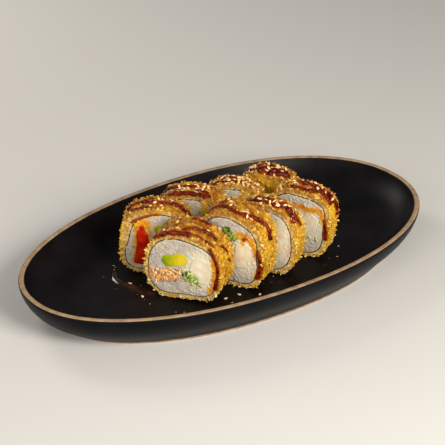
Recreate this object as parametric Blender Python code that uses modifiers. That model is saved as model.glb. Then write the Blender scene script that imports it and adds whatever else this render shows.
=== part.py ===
"""A fried sushi roll, cut in eight slices that stand in two rows on an oval stoneware plate.

Each slice is a rounded square section: filling pieces run through the rice, a sheet of nori
wraps the rice, and a jacket of fried batter and crumbs wraps the nori. The last slice of the
back row is the roll's end, and its front is crumbed over. Metres, +Z up. The
origin is under the middle of the plate, +X runs along the plate's length, and the cut faces
that show look towards -X and -Y.
"""
import math
import random
from dataclasses import dataclass

import bmesh
import bpy
from mathutils import Quaternion, Vector

# Plate
PLATE_HALF_LENGTH = 0.1400
PLATE_HALF_WIDTH = 0.0804
PLATE_OUTLINE_POWER = 2.13
PLATE_EGG = 0.055
PLATE_MEAN_RADIUS = 0.110
PLATE_SIDES = 52
RIM_HEIGHT = 0.0250
FLOOR_HEIGHT = 0.0070
UNDERSIDE_HEIGHT = 0.0018
FOOT_INNER_RADIUS = 0.0865
FOOT_OUTER_RADIUS = 0.0930
LIP_WIDTH = 0.0036

# Slice section
SECTION_SIDES = 28
NORI_THICKNESS = 0.0006
LAYER_GAP = 0.0003
NORI_SETBACK = 0.0003
RICE_PROUD = 0.0003
FILLING_PROUD = 0.0005
SETTLE = 0.0008

# Crust relief and toppings
CRUST_ROWS = 5
CRAG_IN = 0.0009
CRAG_OUT = 0.0002
EDGE_RAGGED = 0.0005
CAP_SETBACK = 0.0002
CAP_LET_IN = 0.0009
STRAND_RADIUS = 0.00095
STRAND_POINTS = 8
SEED_LENGTH = 0.0032
SEED_WIDTH = 0.0019
SEED_THICKNESS = 0.0012
SEED_ARC = (48, 132)


@dataclass
class Slice:
    """One slice: the middle of its front cut face, its size, and what lies on it.

    The nori's and the crust's outlines are distances from the middle in millimetres, for evenly
    spaced clock angles, from the slice's right side anticlockwise. An end slice has a crumbed cap
    over its front face, of the thickness given.

    A strand of sauce is a path over the crust. Each of its points is a clock angle in degrees,
    anticlockwise from the slice's right side, and a depth in millimetres behind the front face.
    """
    name: str
    x: float
    y: float
    heading: float
    length: float
    lean: float
    nori: tuple
    crust: tuple
    seeds: int
    greens_at: tuple
    strands: tuple
    filling_shift: tuple = (0.0, 0.0)
    avocado_shift: tuple = (0.0, 0.0)
    cap: float = 0.0

    @property
    def half_width(self):
        """Half the nori's width across the middle."""
        return (self.nori[0] + self.nori[len(self.nori) // 2]) / 2000

    @property
    def half_height(self):
        """Half the nori's height across the middle."""
        quarter = len(self.nori) // 4
        return (self.nori[quarter] + self.nori[3 * quarter]) / 2000


@dataclass
class Filling:
    """A filling's section, as fractions of the slice's half width and half height."""
    name: str
    at: tuple
    half: tuple
    tilt: float
    power: float
    sides: int
    ragged: float


SLICES = (
    Slice("front_1", -0.0526, -0.0261, 34, 0.0225, 0,
          (22.0, 22.4, 21.1, 19.0, 19.1, 20.5, 21.6, 21.6, 21.3, 22.6, 22.5, 19.3, 16.9, 18.3, 22.3, 23.3),
          (24.8, 25.6, 25.3, 24.1, 24.7, 25.3, 25.3, 24.3, 23.5, 25.2, 25.7, 23.1, 20.3, 21.7, 25.5, 26.3),
          2, (0.28, -0.27), (
        ((140, 3), (118, 1), (90, 1), (71, 1)),
        ((92, 5.5), (79, 9), (63, 10.2), (46, 11.3)),
        ((36, 12.2), (21, 14.2), (8, 16.5)))),
    Slice("front_2", -0.0204, -0.0278, 27, 0.0200, 0,
          (19.2, 21.2, 22.8, 22.3, 23.0, 23.8, 21.7, 19.3, 18.2, 19.3, 21.6, 21.2, 18.8, 20.6, 23.5, 21.3),
          (23.8, 26.2, 28.2, 27.3, 27.6, 27.8, 25.1, 22.5, 21.2, 22.3, 24.6, 24.1, 21.6, 23.8, 27.1, 25.4),
          4, (0.10, 0.63), (
        ((117, 6), (105, 9), (89, 6), (75, 2.5), (59, 6), (48, 9), (39, 10.5), (26, 7.5)),)),
    Slice("front_3", 0.0064, -0.0290, 29, 0.0145, -2,
          (18.0, 18.4, 19.7, 20.1, 19.6, 20.2, 20.8, 19.4, 18.1, 19.2, 21.0, 20.3, 19.4, 20.6, 20.9, 19.2),
          (22.0, 22.7, 24.3, 24.7, 24.2, 24.6, 25.1, 23.5, 22.1, 23.1, 24.7, 23.8, 22.8, 24.1, 24.6, 23.0),
          5, (0.52, -0.53), (
        ((130, 7), (111, 7.8), (93, 3.8), (78, 4), (65, 5.8), (53, 5), (41, 3)),
        ((116, 11), (95, 9), (81, 8)))),
    Slice("front_4", 0.0364, -0.0243, 30, 0.0155, -4,
          (16.8, 19.0, 22.4, 21.2, 19.9, 21.9, 22.1, 19.0, 17.8, 19.0, 20.2, 19.4, 18.1, 19.0, 20.5, 18.8),
          (21.1, 23.5, 27.0, 25.7, 24.3, 26.2, 26.3, 23.1, 21.8, 22.8, 23.7, 22.7, 21.1, 22.3, 24.2, 22.8),
          4, (0.69, -0.37), (
        ((102, 11), (84, 13.2), (70, 11.2), (56, 10.8), (44, 11.8), (32, 10.8)),
        ((106, 3.8), (88, 3.8), (65, 7.5), (54, 4), (46, 6.8))),
        (-0.12, 0.08)),
    Slice("back_1", -0.0470, 0.0082, 48, 0.0175, -4,
          (18.2, 18.9, 20.3, 20.7, 19.4, 18.5, 18.6, 17.5, 16.9, 20.2, 23.2, 20.4, 17.9, 19.3, 20.2, 18.8),
          (21.8, 22.7, 24.4, 25.1, 24.0, 24.0, 26.2, 24.0, 22.4, 24.5, 26.0, 23.4, 21.4, 22.8, 23.8, 22.4),
          2, (0.38, -0.52), (
        ((134, 6.2), (123, 7), (112, 8.5), (89, 7), (69, 9), (48, 11.2), (36, 13)),
        ((61, 1), (38, 8), (30, 14))),
        avocado_shift=(0.47, 0.22)),
    Slice("back_2", -0.0168, 0.0156, 42, 0.0175, 0,
          (17.7, 18.7, 19.9, 18.8, 17.8, 18.8, 19.9, 18.7, 17.7, 18.7, 19.9, 18.8, 17.8, 18.8, 19.9, 18.7),
          (21.7, 22.8, 24.1, 23.0, 22.1, 23.0, 24.1, 22.8, 21.7, 22.6, 23.6, 22.4, 21.2, 22.4, 23.6, 22.6),
          4, (0.24, -0.33), (
        ((137, 15.5), (125, 12), (106, 10.2), (94, 10.2)),
        ((124, 2.5), (105, 1), (82, 1), (62, 1)))),
    Slice("back_3", 0.0150, 0.0140, 38, 0.0120, 0,
          (17.2, 18.1, 18.9, 17.8, 16.8, 17.8, 18.9, 18.1, 17.2, 18.1, 18.9, 17.8, 16.8, 17.8, 18.9, 18.1),
          (21.2, 22.2, 23.1, 22.0, 21.1, 22.0, 23.1, 22.2, 21.2, 22.0, 22.6, 21.3, 20.2, 21.3, 22.6, 22.0),
          5, (0.26, -0.32), (
        ((124, 1), (113, 3.2), (101, 3.5), (91, 6), (79, 3.8)),)),
    Slice("back_4", 0.0398, 0.0122, 35, 0.0175, 0,
          (17.0, 17.9, 18.7, 17.7, 16.8, 17.7, 18.7, 17.9, 17.0, 17.9, 18.7, 17.7, 16.8, 17.7, 18.7, 17.9),
          (21.0, 21.9, 22.8, 21.9, 21.1, 21.9, 22.8, 21.9, 21.0, 21.7, 22.4, 21.2, 20.2, 21.2, 22.4, 21.7),
          5, (0.26, -0.34), (
        ((139, 15.5), (125, 11), (111, 6), (96, 8.8), (70, 12), (58, 11.5)),
        ((105, 3.2), (85, 4.5), (62, 7.5))),
        cap=0.0022),
)

AVOCADO = Filling("avocado", (-0.20, 0.29), (0.36, 0.21), 13, 4.5, 12, 0.03)
GREENS = Filling("greens", (0.0, 0.0), (0.27, 0.15), -32, 1.8, 8, 0.10)
SALMON = Filling("salmon", (-0.45, -0.29), (0.46, 0.19), 11, 3.2, 14, 0.08)
CHEESE = Filling("cheese", (0.52, 0.02), (0.31, 0.50), -12, 2.8, 14, 0.04)

# Materials: sRGB colour (0 to 255), roughness
LOOKS = {
    "plate": ((42, 39, 42), 0.40),
    "crust": ((190, 138, 36), 0.75),
    "nori": ((38, 42, 28), 0.60),
    "rice": ((205, 196, 172), 0.50),
    "avocado": ((172, 188, 24), 0.45),
    "greens": ((98, 130, 38), 0.50),
    "salmon": ((226, 150, 92), 0.50),
    "cheese": ((238, 220, 190), 0.40),
}


def clear_scene():
    """Remove every object that the scene starts with."""
    for item in list(bpy.data.objects):
        bpy.data.objects.remove(item, do_unlink=True)


def new_collection(name):
    """Make a collection in the scene."""
    collection = bpy.data.collections.new(name)
    bpy.context.scene.collection.children.link(collection)
    return collection


def linear(channel):
    """One sRGB channel, 0 to 255, as a linear value."""
    value = channel / 255
    if value <= 0.04045:
        return value / 12.92
    return ((value + 0.055) / 1.055) ** 2.4


def make_material(name):
    """A Principled material with the sub-part's colour and roughness."""
    colour, roughness = LOOKS[name]
    material = bpy.data.materials.new(name)
    material.use_nodes = True
    shader = material.node_tree.nodes["Principled BSDF"]
    shader.inputs["Base Color"].default_value = (*[linear(c) for c in colour], 1)
    shader.inputs["Roughness"].default_value = roughness
    shader.inputs["Metallic"].default_value = 0.0
    return material


def take_active(name, collection, parent=None):
    """Name the object a primitive operator has just made and put it in a collection."""
    item = bpy.context.object
    item.name = name
    item.data.name = name
    for owner in list(item.users_collection):
        owner.objects.unlink(item)
    collection.objects.link(item)
    item.parent = parent
    return item


def face_outward(mesh):
    """Turn every face of a closed mesh to point out."""
    shell = bmesh.new()
    shell.from_mesh(mesh)
    bmesh.ops.recalc_face_normals(shell, faces=shell.faces)
    shell.to_mesh(mesh)
    shell.free()


def finish(item, material):
    """Give a piece its material and smooth shading with crisp cut edges."""
    item.data.materials.clear()
    item.data.materials.append(material)
    item.data.shade_smooth()
    item.data.set_sharp_from_angle(angle=math.radians(35))


def superellipse(angle, half_x, half_y, power):
    """A point of a rounded-square outline at an angle."""
    cosine = math.cos(angle)
    sine = math.sin(angle)
    x = half_x * math.copysign(abs(cosine) ** (2 / power), cosine)
    y = half_y * math.copysign(abs(sine) ** (2 / power), sine)
    return Vector((x, y))


def even_angles(outline, count):
    """Angles whose points on an outline, a function of the angle, lie evenly apart."""
    fine = 1440
    points = [outline(math.tau * i / fine) for i in range(fine + 1)]
    travelled = [0.0]
    for start, end in zip(points, points[1:]):
        travelled.append(travelled[-1] + (end - start).length)
    angles = []
    step = 0
    for i in range(count):
        while travelled[step + 1] < travelled[-1] * i / count:
            step += 1
        angles.append(math.tau * step / fine)
    return angles


# Plate

def plate_point(angle, radius, height):
    """Carry a turned point, given at the plate's mean radius, onto the oval plate.

    Towards the middle the outline shrinks in proportion. Near the rim it moves in by the same
    distance all round, so that the wall is as thick at the ends as along the sides.
    """
    rim = superellipse(angle, PLATE_HALF_LENGTH, PLATE_HALF_WIDTH, PLATE_OUTLINE_POWER)
    rim.y *= 1 + PLATE_EGG * rim.x / PLATE_HALF_LENGTH
    share = radius / PLATE_MEAN_RADIUS
    scaled = rim * share
    normal = Vector((rim.x / PLATE_HALF_LENGTH ** 2, rim.y / PLATE_HALF_WIDTH ** 2)).normalized()
    inset = rim - normal * (PLATE_MEAN_RADIUS - radius)
    blend = min(max((share - 0.80) / 0.15, 0), 1)
    point = scaled.lerp(inset, blend * blend * (3 - 2 * blend))
    return (point.x, point.y, height)


def make_plate(collection, material):
    """The oval coupe plate: a turned profile carried onto the oval outline."""
    lip = PLATE_MEAN_RADIUS - LIP_WIDTH
    profile = (
        (0.0, FLOOR_HEIGHT),
        (0.0790, FLOOR_HEIGHT),
        (0.0865, 0.0076),
        (0.0930, 0.0098),
        (0.0990, 0.0142),
        (0.1035, 0.0200),
        (lip, RIM_HEIGHT - 0.0008),
        (lip + 0.0009, RIM_HEIGHT),
        (PLATE_MEAN_RADIUS - 0.0009, RIM_HEIGHT),
        (PLATE_MEAN_RADIUS, RIM_HEIGHT - 0.0010),
        (0.1085, 0.0180),
        (0.1045, 0.0110),
        (0.0985, 0.0050),
        (FOOT_OUTER_RADIUS + 0.0010, 0.0012),
        (FOOT_OUTER_RADIUS, 0.0),
        (FOOT_INNER_RADIUS, 0.0),
        (FOOT_INNER_RADIUS - 0.0012, UNDERSIDE_HEIGHT),
        (0.0, UNDERSIDE_HEIGHT),
    )
    mesh = bpy.data.meshes.new("plate")
    edges = [(i, i + 1) for i in range(len(profile) - 1)]
    mesh.from_pydata([(r, 0, z) for r, z in profile], edges, [])
    plate = bpy.data.objects.new("plate", mesh)
    collection.objects.link(plate)
    turn = plate.modifiers.new("turn", "SCREW")
    turn.axis = "Z"
    turn.steps = PLATE_SIDES
    turn.render_steps = PLATE_SIDES
    turn.use_merge_vertices = True
    turn.merge_threshold = 0.0001
    bpy.context.view_layer.update()
    turned = bpy.data.meshes.new_from_object(plate.evaluated_get(bpy.context.evaluated_depsgraph_get()))
    plate.modifiers.clear()
    plate.data = turned
    for vertex in turned.vertices:
        radius = math.hypot(vertex.co.x, vertex.co.y)
        angle = math.atan2(vertex.co.y, vertex.co.x)
        vertex.co = plate_point(angle, radius, vertex.co.z)
    face_outward(turned)
    finish(plate, material)
    return plate


# Slice section

def reach(radii, angle):
    """The distance, in metres, of an outline from its middle at an angle, smooth between radii."""
    count = len(radii)
    place = angle / math.tau * count
    step = math.floor(place)
    rest = place - step
    before, start, end, after = (radii[(step + k) % count] for k in (-1, 0, 1, 2))
    curve = (2 * start + (end - before) * rest
             + (2 * before - 5 * start + 4 * end - after) * rest ** 2
             + (3 * start - before - 3 * end + after) * rest ** 3) / 2
    return curve / 1000


def section_point(cut, angle, offset):
    """A point of a slice's section, some way outside or inside the nori's outer face."""
    radius = reach(cut.nori, angle) + offset
    return Vector((radius * math.cos(angle), radius * math.sin(angle)))


def crust_outline_point(cut, angle, offset):
    """A point of a slice's section, some way outside or inside the crust's outline."""
    radius = reach(cut.crust, angle) + offset
    return Vector((radius * math.cos(angle), radius * math.sin(angle)))


def slice_height(cut):
    """How high a slice's middle stands, so that its settled bottom lies on the plate's floor."""
    lean = math.radians(cut.lean)
    lowest = 0.0
    for step in range(360):
        point = crust_outline_point(cut, math.radians(step), 0)
        lowest = min(lowest, point.x * math.sin(lean) + point.y * math.cos(lean))
    return FLOOR_HEIGHT + LAYER_GAP - lowest - SETTLE


def keep_off_floor(cut, point):
    """Flatten a point of the crust that would sink into the plate."""
    lean = math.radians(cut.lean)
    height = slice_height(cut) + point.x * math.sin(lean) + point.y * math.cos(lean)
    sunk = FLOOR_HEIGHT + LAYER_GAP - height
    if sunk > 0:
        point.y += sunk / math.cos(lean)
    return point


def place_slice(cut, collection):
    """The empty that carries a slice: it turns and leans the pieces and stands them up."""
    empty = bpy.data.objects.new("slice_" + cut.name, None)
    empty.empty_display_size = 0.01
    empty.location = (cut.x, cut.y, slice_height(cut))
    empty.rotation_euler = (0, -math.radians(cut.lean), math.radians(cut.heading - 90))
    collection.objects.link(empty)
    return empty


def make_ring(name, collection, parent, rows, place):
    """A closed ring with some rows of points across its section, each set by place(side, row)."""
    bpy.ops.mesh.primitive_torus_add(major_segments=SECTION_SIDES, minor_segments=rows)
    ring = take_active(name, collection, parent)
    for index, vertex in enumerate(ring.data.vertices):
        vertex.co = place(index // rows, index % rows)
    face_outward(ring.data)
    return ring


def make_jacket(cut, collection, parent, angles):
    """The fried jacket: a smooth inside, flat cut faces and a craggy crust."""
    draw = random.Random("crust " + cut.name)
    rows = CRUST_ROWS + 2

    def place(side, row):
        if row < 2:
            point = section_point(cut, angles[side], LAYER_GAP)
            return (point.x, cut.length * (1 - row), point.y)
        along = (row - 2) / (CRUST_ROWS - 1)
        crag = draw.uniform(-CRAG_IN, CRAG_OUT)
        point = crust_outline_point(cut, angles[side], crag)
        point = keep_off_floor(cut, point)
        ragged = draw.uniform(0, EDGE_RAGGED)
        depth = cut.length * along
        if along == 0:
            depth += ragged
        elif along == 1:
            depth -= ragged
        else:
            depth += 2 * ragged - EDGE_RAGGED
        return (point.x, depth, point.y)

    return make_ring("crust_" + cut.name, collection, parent, rows, place)


def inside_front(cut):
    """How far behind the front face the inside starts: behind the cap, where there is one."""
    return cut.cap + LAYER_GAP if cut.cap else -math.inf


def make_nori(cut, collection, parent, angles):
    """The nori sheet between jacket and rice, a little back from the cut faces."""
    offsets = (0, 0, -NORI_THICKNESS, -NORI_THICKNESS)
    front = max(NORI_SETBACK, inside_front(cut))
    back = cut.length - NORI_SETBACK
    depths = (back, front, front, back)

    def place(side, row):
        point = section_point(cut, angles[side], offsets[row])
        return (point.x, depths[row], point.y)

    return make_ring("nori_" + cut.name, collection, parent, len(offsets), place)


def make_prism(name, collection, parent, outline, front, back):
    """A straight piece along the roll, from an outline in the section."""
    count = len(outline)
    bpy.ops.mesh.primitive_cylinder_add(vertices=count, radius=1, depth=2)
    prism = take_active(name, collection, parent)
    for vertex in prism.data.vertices:
        turn = math.atan2(vertex.co.y, vertex.co.x)
        point = outline[round(turn * count / math.tau) % count]
        depth = front if vertex.co.z < 0 else back
        vertex.co = (point.x, depth, point.y)
    face_outward(prism.data)
    return prism


# Fillings

def filling_outline(cut, filling, grow):
    """The section of one filling in one slice, grown by some distance for its hole."""
    draw = random.Random(filling.name + cut.name)
    at = cut.greens_at if filling is GREENS else filling.at
    shift = Vector((0, 0)) if filling is GREENS else Vector(cut.filling_shift)
    if filling is AVOCADO:
        shift += Vector(cut.avocado_shift)
    size = 1 + draw.uniform(-0.06, 0.06)
    tilt = math.radians(filling.tilt + draw.uniform(-6, 6))
    middle = Vector(((at[0] + shift.x) * cut.half_width, (at[1] + shift.y) * cut.half_height))
    half_x = filling.half[0] * size * cut.half_width
    half_z = filling.half[1] * size * cut.half_height
    limit = -NORI_THICKNESS - LAYER_GAP
    outline = []
    section = even_angles(
        lambda angle: superellipse(angle, half_x, half_z, filling.power), filling.sides)
    for angle in section:
        swell = 1 + draw.uniform(-filling.ragged, filling.ragged)
        point = superellipse(angle, half_x * swell, half_z * swell, filling.power)
        point += point.normalized() * grow
        turned = Vector((point.x * math.cos(tilt) - point.y * math.sin(tilt),
                         point.x * math.sin(tilt) + point.y * math.cos(tilt)))
        outline.append(keep_inside(cut, middle + turned, limit + grow))
    return outline


def keep_inside(cut, point, offset):
    """Pull a point back to the section's outline where it would leave it."""
    limit = 0.93 * (reach(cut.nori, math.atan2(point.y, point.x)) + offset)
    if point.length > limit:
        return point * (limit / point.length)
    return point


def cut_with(item, cutter):
    """Cut a piece with a hidden one, live."""
    cutting = item.modifiers.new(cutter.name, "BOOLEAN")
    cutting.operation = "DIFFERENCE"
    cutting.object = cutter


def make_cutter(cut, filling, collection, parent):
    """The hole that one filling needs in its neighbours, with a thin gap all round."""
    outline = filling_outline(cut, filling, LAYER_GAP)
    overrun = 3 * FILLING_PROUD
    cutter = make_prism("hole_" + filling.name + "_" + cut.name, collection, parent, outline,
                        -overrun, cut.length + overrun)
    cutter.hide_render = True
    cutter.display_type = "WIRE"
    return cutter


def make_inside(cut, collection, cutters, parent, angles, materials):
    """The rice with its filling pieces; each later piece gives way to the earlier ones."""
    holes = []
    for filling in (AVOCADO, GREENS, SALMON, CHEESE):
        outline = filling_outline(cut, filling, 0)
        name = filling.name + "_" + cut.name
        front = max(-FILLING_PROUD, inside_front(cut))
        piece = make_prism(name, collection, parent, outline, front,
                           cut.length + FILLING_PROUD)
        for hole in holes:
            cut_with(piece, hole)
        finish(piece, materials[filling.name])
        holes.append(make_cutter(cut, filling, cutters, parent))
    inside = -NORI_THICKNESS - LAYER_GAP
    outline = [section_point(cut, angle, inside) for angle in angles]
    front = max(-RICE_PROUD, inside_front(cut))
    rice = make_prism("rice_" + cut.name, collection, parent, outline, front,
                      cut.length + RICE_PROUD)
    for hole in holes:
        cut_with(rice, hole)
    finish(rice, materials["rice"])


# Toppings

def crust_point(cut, crust, angle, depth):
    """Where the crust lies at a clock angle and a depth, and which way it faces there."""
    reach = 2 * cut.half_width
    outside = Vector((reach * math.cos(angle), depth, reach * math.sin(angle)))
    inward = Vector((-math.cos(angle), 0, -math.sin(angle)))
    hit, place, normal, face = crust.ray_cast(outside, inward)
    return place, normal


def along_path(path, share):
    """The clock angle and depth some share of the way along a strand's path."""
    step = min(int(share * (len(path) - 1)), len(path) - 2)
    rest = share * (len(path) - 1) - step
    clock = path[step][0] + rest * (path[step + 1][0] - path[step][0])
    depth = path[step][1] + rest * (path[step + 1][1] - path[step][1])
    return math.radians(clock), depth / 1000


def add_strand(cut, crust, collection, parent, path):
    """A thick strand of sauce that lies over the crust."""
    curve = bpy.data.curves.new("strand", "CURVE")
    curve.dimensions = "3D"
    curve.bevel_depth = STRAND_RADIUS
    curve.bevel_resolution = 0
    curve.use_fill_caps = True
    line = curve.splines.new("POLY")
    line.points.add(STRAND_POINTS - 1)
    for index, point in enumerate(line.points):
        angle, depth = along_path(path, index / (STRAND_POINTS - 1))
        place, normal = crust_point(cut, crust, angle, depth)
        point.co = (*place, 1)
    strand = bpy.data.objects.new("strand", curve)
    strand.parent = parent
    collection.objects.link(strand)
    bpy.context.view_layer.update()
    depsgraph = bpy.context.evaluated_depsgraph_get()
    mesh = bpy.data.meshes.new_from_object(strand.evaluated_get(depsgraph))
    welded = bmesh.new()
    welded.from_mesh(mesh)
    bmesh.ops.remove_doubles(welded, verts=welded.verts, dist=0.00001)
    bmesh.ops.recalc_face_normals(welded, faces=welded.faces)
    welded.to_mesh(mesh)
    welded.free()
    solid = bpy.data.objects.new("strand_solid", mesh)
    solid.matrix_world = strand.matrix_world
    collection.objects.link(solid)
    bpy.data.objects.remove(strand, do_unlink=True)


def add_seed(cut, crust, collection, parent, draw, share):
    """A sesame seed lying half sunk in the crust."""
    angle = math.radians(draw.uniform(*SEED_ARC))
    place, normal = crust_point(cut, crust, angle, cut.length * share)
    bpy.ops.mesh.primitive_uv_sphere_add(segments=6, ring_count=3, radius=0.5)
    seed = take_active("seed", collection, parent)
    seed.scale = (SEED_LENGTH, SEED_WIDTH, SEED_THICKNESS)
    seed.location = place + normal * SEED_THICKNESS * 0.2
    spin = Quaternion((0, 0, 1), draw.uniform(0, math.pi))
    seed.rotation_mode = "QUATERNION"
    seed.rotation_quaternion = Vector((0, 0, 1)).rotation_difference(normal) @ spin


def add_cap(cut, collection, parent):
    """The crumbed cap over an end slice's front face, let into the jacket all round."""
    outline = [section_point(cut, math.tau * i / SECTION_SIDES, LAYER_GAP + CAP_LET_IN)
               for i in range(SECTION_SIDES)]
    make_prism("cap", collection, parent, outline, CAP_SETBACK, cut.cap)


def fuse_toppings(cut, crust, parent):
    """Join the slice's strands and seeds, and an end slice's cap, to its crust."""
    toppings = new_collection("toppings_" + cut.name)
    draw = random.Random("seeds " + cut.name)
    if cut.cap:
        add_cap(cut, toppings, parent)
    for path in cut.strands:
        add_strand(cut, crust, toppings, parent, path)
    for number in range(cut.seeds):
        add_seed(cut, crust, toppings, parent, draw, 0.15 + 0.7 * (number + 0.5) / cut.seeds)
    union = crust.modifiers.new("toppings", "BOOLEAN")
    union.operation = "UNION"
    union.operand_type = "COLLECTION"
    union.collection = toppings
    bpy.context.view_layer.update()
    depsgraph = bpy.context.evaluated_depsgraph_get()
    fused = bpy.data.meshes.new_from_object(crust.evaluated_get(depsgraph))
    crust.modifiers.clear()
    crust.data = fused
    for item in list(toppings.objects):
        bpy.data.objects.remove(item, do_unlink=True)
    bpy.data.collections.remove(toppings)


def main():
    """Model the plate and its eight slices."""
    clear_scene()
    roll = new_collection("fried_sushi_roll")
    cutters = new_collection("cutters")
    materials = {name: make_material(name) for name in LOOKS}
    make_plate(roll, materials["plate"])
    for cut in SLICES:
        angles = even_angles(lambda angle: section_point(cut, angle, 0), SECTION_SIDES)
        carrier = place_slice(cut, roll)
        crust = make_jacket(cut, roll, carrier, angles)
        fuse_toppings(cut, crust, carrier)
        finish(crust, materials["crust"])
        nori = make_nori(cut, roll, carrier, angles)
        finish(nori, materials["nori"])
        make_inside(cut, roll, cutters, carrier, angles, materials)


main()
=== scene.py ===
# %% [markdown]
# # A fried sushi roll on its oval plate
#
# The dish is a thick sushi roll that was battered, rolled in breadcrumbs, fried and cut in eight
# slices. They stand in two rows on a dark stoneware plate, under strands of dark sauce and sesame.
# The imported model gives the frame: the plate, and for each slice its crust, nori, rice and four
# fillings. This script gives each of them its real surface, and never moves or resizes it.

# %% Load the frame
import math
import random

import bpy
import numpy as np
from mathutils import Matrix, Vector, kdtree, noise
from mathutils.bvhtree import BVHTree


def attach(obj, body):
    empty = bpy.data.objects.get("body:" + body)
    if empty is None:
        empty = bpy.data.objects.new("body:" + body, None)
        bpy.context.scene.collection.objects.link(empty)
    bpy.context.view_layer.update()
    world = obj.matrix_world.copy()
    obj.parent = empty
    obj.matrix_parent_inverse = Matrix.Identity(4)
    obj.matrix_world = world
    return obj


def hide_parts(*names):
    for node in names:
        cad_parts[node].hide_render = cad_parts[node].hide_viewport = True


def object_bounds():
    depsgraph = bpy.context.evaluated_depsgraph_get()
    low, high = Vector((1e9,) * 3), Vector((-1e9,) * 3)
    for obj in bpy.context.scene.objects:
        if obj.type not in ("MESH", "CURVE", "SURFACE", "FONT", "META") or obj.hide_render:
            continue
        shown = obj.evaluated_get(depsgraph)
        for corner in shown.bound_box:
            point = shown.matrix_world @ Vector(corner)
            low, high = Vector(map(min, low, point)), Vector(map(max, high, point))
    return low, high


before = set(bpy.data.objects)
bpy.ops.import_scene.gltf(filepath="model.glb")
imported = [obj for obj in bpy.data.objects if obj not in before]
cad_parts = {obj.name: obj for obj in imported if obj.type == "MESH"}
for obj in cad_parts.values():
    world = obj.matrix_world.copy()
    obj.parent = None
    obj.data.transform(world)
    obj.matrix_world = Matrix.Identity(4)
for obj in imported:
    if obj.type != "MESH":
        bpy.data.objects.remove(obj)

MM = 0.001


def box_text(box):
    """A box's two corners in millimetres, for printing."""
    return [round(value / MM, 1) for corner in box for value in corner]


cad_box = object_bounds()
print("frame nodes:", len(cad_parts), "box in mm:", box_text(cad_box))

# %% [markdown]
# ## The camera
#
# The picture looks down on the long side of the plate from the left, through a long lens, so the
# plate's far end is hardly smaller than its near end. The camera could be placed by eye, but the
# plate's rim is a known oval, so its outline in the picture fixes the direction and the lens.

# %% Camera
VIEW_AZIMUTH = -36.97
VIEW_ELEVATION = 28.0
VIEW_DISTANCE = 0.95
LOOK_AT = Vector((0.0050, 0.0106, 0.0250))
LENS = 122.9


def in_scene(name, data):
    """A new object that holds some data, linked into the scene."""
    item = bpy.data.objects.new(name, data)
    bpy.context.scene.collection.objects.link(item)
    return item


azimuth = math.radians(VIEW_AZIMUTH)
elevation = math.radians(VIEW_ELEVATION)
towards_camera = Vector((math.sin(azimuth) * math.cos(elevation),
                         -math.cos(azimuth) * math.cos(elevation),
                         math.sin(elevation)))
camera_data = bpy.data.cameras.new("camera")
camera_data.lens = LENS
camera = in_scene("camera", camera_data)
camera.location = LOOK_AT + towards_camera * VIEW_DISTANCE
camera.rotation_euler = towards_camera.to_track_quat("Z", "Y").to_euler()
bpy.context.scene.camera = camera
print("camera at", [round(v, 3) for v in camera.location])

# %% [markdown]
# ## The studio
#
# A pale floor and soft light, as asked of every part. The key light is large and stands high in
# front of the plate's long side, to the right of the camera: in the picture the tops of the slices
# are the brightest. A dim light behind draws the far rims, and a low one from the left keeps the
# cut faces, which turn left, from going grey.

# %% Floor and lights
bpy.context.scene.view_settings.view_transform = "Standard"


def linear(*channels):
    """An sRGB colour, 0 to 255, as the linear values that a shader wants."""
    values = [c / 255 for c in channels]
    return tuple(v / 12.92 if v <= 0.04045 else ((v + 0.055) / 1.055) ** 2.4 for v in values)


def soft_light(name, place, aim_height, size, power, colour):
    """A square area light that looks at a point above the plate's middle."""
    data = bpy.data.lights.new(name, "AREA")
    data.size = size
    data.energy = power
    data.color = colour
    light = in_scene(name, data)
    light.location = place
    sight = Vector(place) - Vector((0, 0, aim_height))
    light.rotation_euler = sight.to_track_quat("Z", "Y").to_euler()


soft_light("key", (0.02, -0.88, 0.54), 0.02, 0.45, 13.4, (1.0, 0.95, 0.87))
soft_light("back", (-0.10, 0.80, 0.50), 0.03, 0.35, 3.0, (1.0, 0.95, 0.88))
soft_light("fill", (-0.85, -0.38, 0.36), 0.03, 0.55, 4.4, (1.0, 0.95, 0.90))

world = bpy.data.worlds.new("studio")
world.use_nodes = True
sky = world.node_tree.nodes["Background"].inputs
sky["Color"].default_value = (0.84, 0.80, 0.76, 1)
sky["Strength"].default_value = 0.24
bpy.context.scene.world = world


def clean_start():
    """Deselect everything, so that the next step acts on the new piece alone."""
    bpy.ops.object.select_all(action="DESELECT")


clean_start()
bpy.ops.mesh.primitive_plane_add(size=6, location=(0, 0, 0))
floor = bpy.context.object
floor.name = "floor"
floor_finish = bpy.data.materials.new("pale_floor")
floor_finish.use_nodes = True
floor_shader = floor_finish.node_tree.nodes["Principled BSDF"]
floor_shader.inputs["Base Color"].default_value = (0.62, 0.61, 0.59, 1)
floor_shader.inputs["Roughness"].default_value = 0.9
floor.data.materials.append(floor_finish)
print("lights:", [light.name for light in bpy.data.lights])

# %% [markdown]
# ## Reading a slice from the frame
#
# Every slice stands at its own place and turn. Typing those in again would be a second truth, so
# they are read from the solids: the rice's largest flat side is the cut face, which gives the
# slice's direction, and the edge of a solid's cut face gives its outline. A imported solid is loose
# triangles, so equal corners are first made one.

# %% Slices
SLICES = [row + "_" + str(number) for row in ("front", "back") for number in (1, 2, 3, 4)]
PLATE_FLOOR = 7.0 * MM
# A triangle belongs to a cut face if this share of its area looks straight along the roll
FLATNESS = 0.98
# The skin is measured by rays from this far out, at these shares of the slice's length
RAY_START = 50 * MM
RAY_SHARES = (0.14, 0.26, 0.38, 0.5, 0.62, 0.74, 0.86)


def numbers_of(items, name, kind=np.float32):
    """Three numbers of each vertex or triangle, such as its place, as the rows of an array."""
    numbers = np.empty(len(items) * 3, kind)
    items.foreach_get(name, numbers)
    return numbers.reshape(-1, 3)


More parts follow.
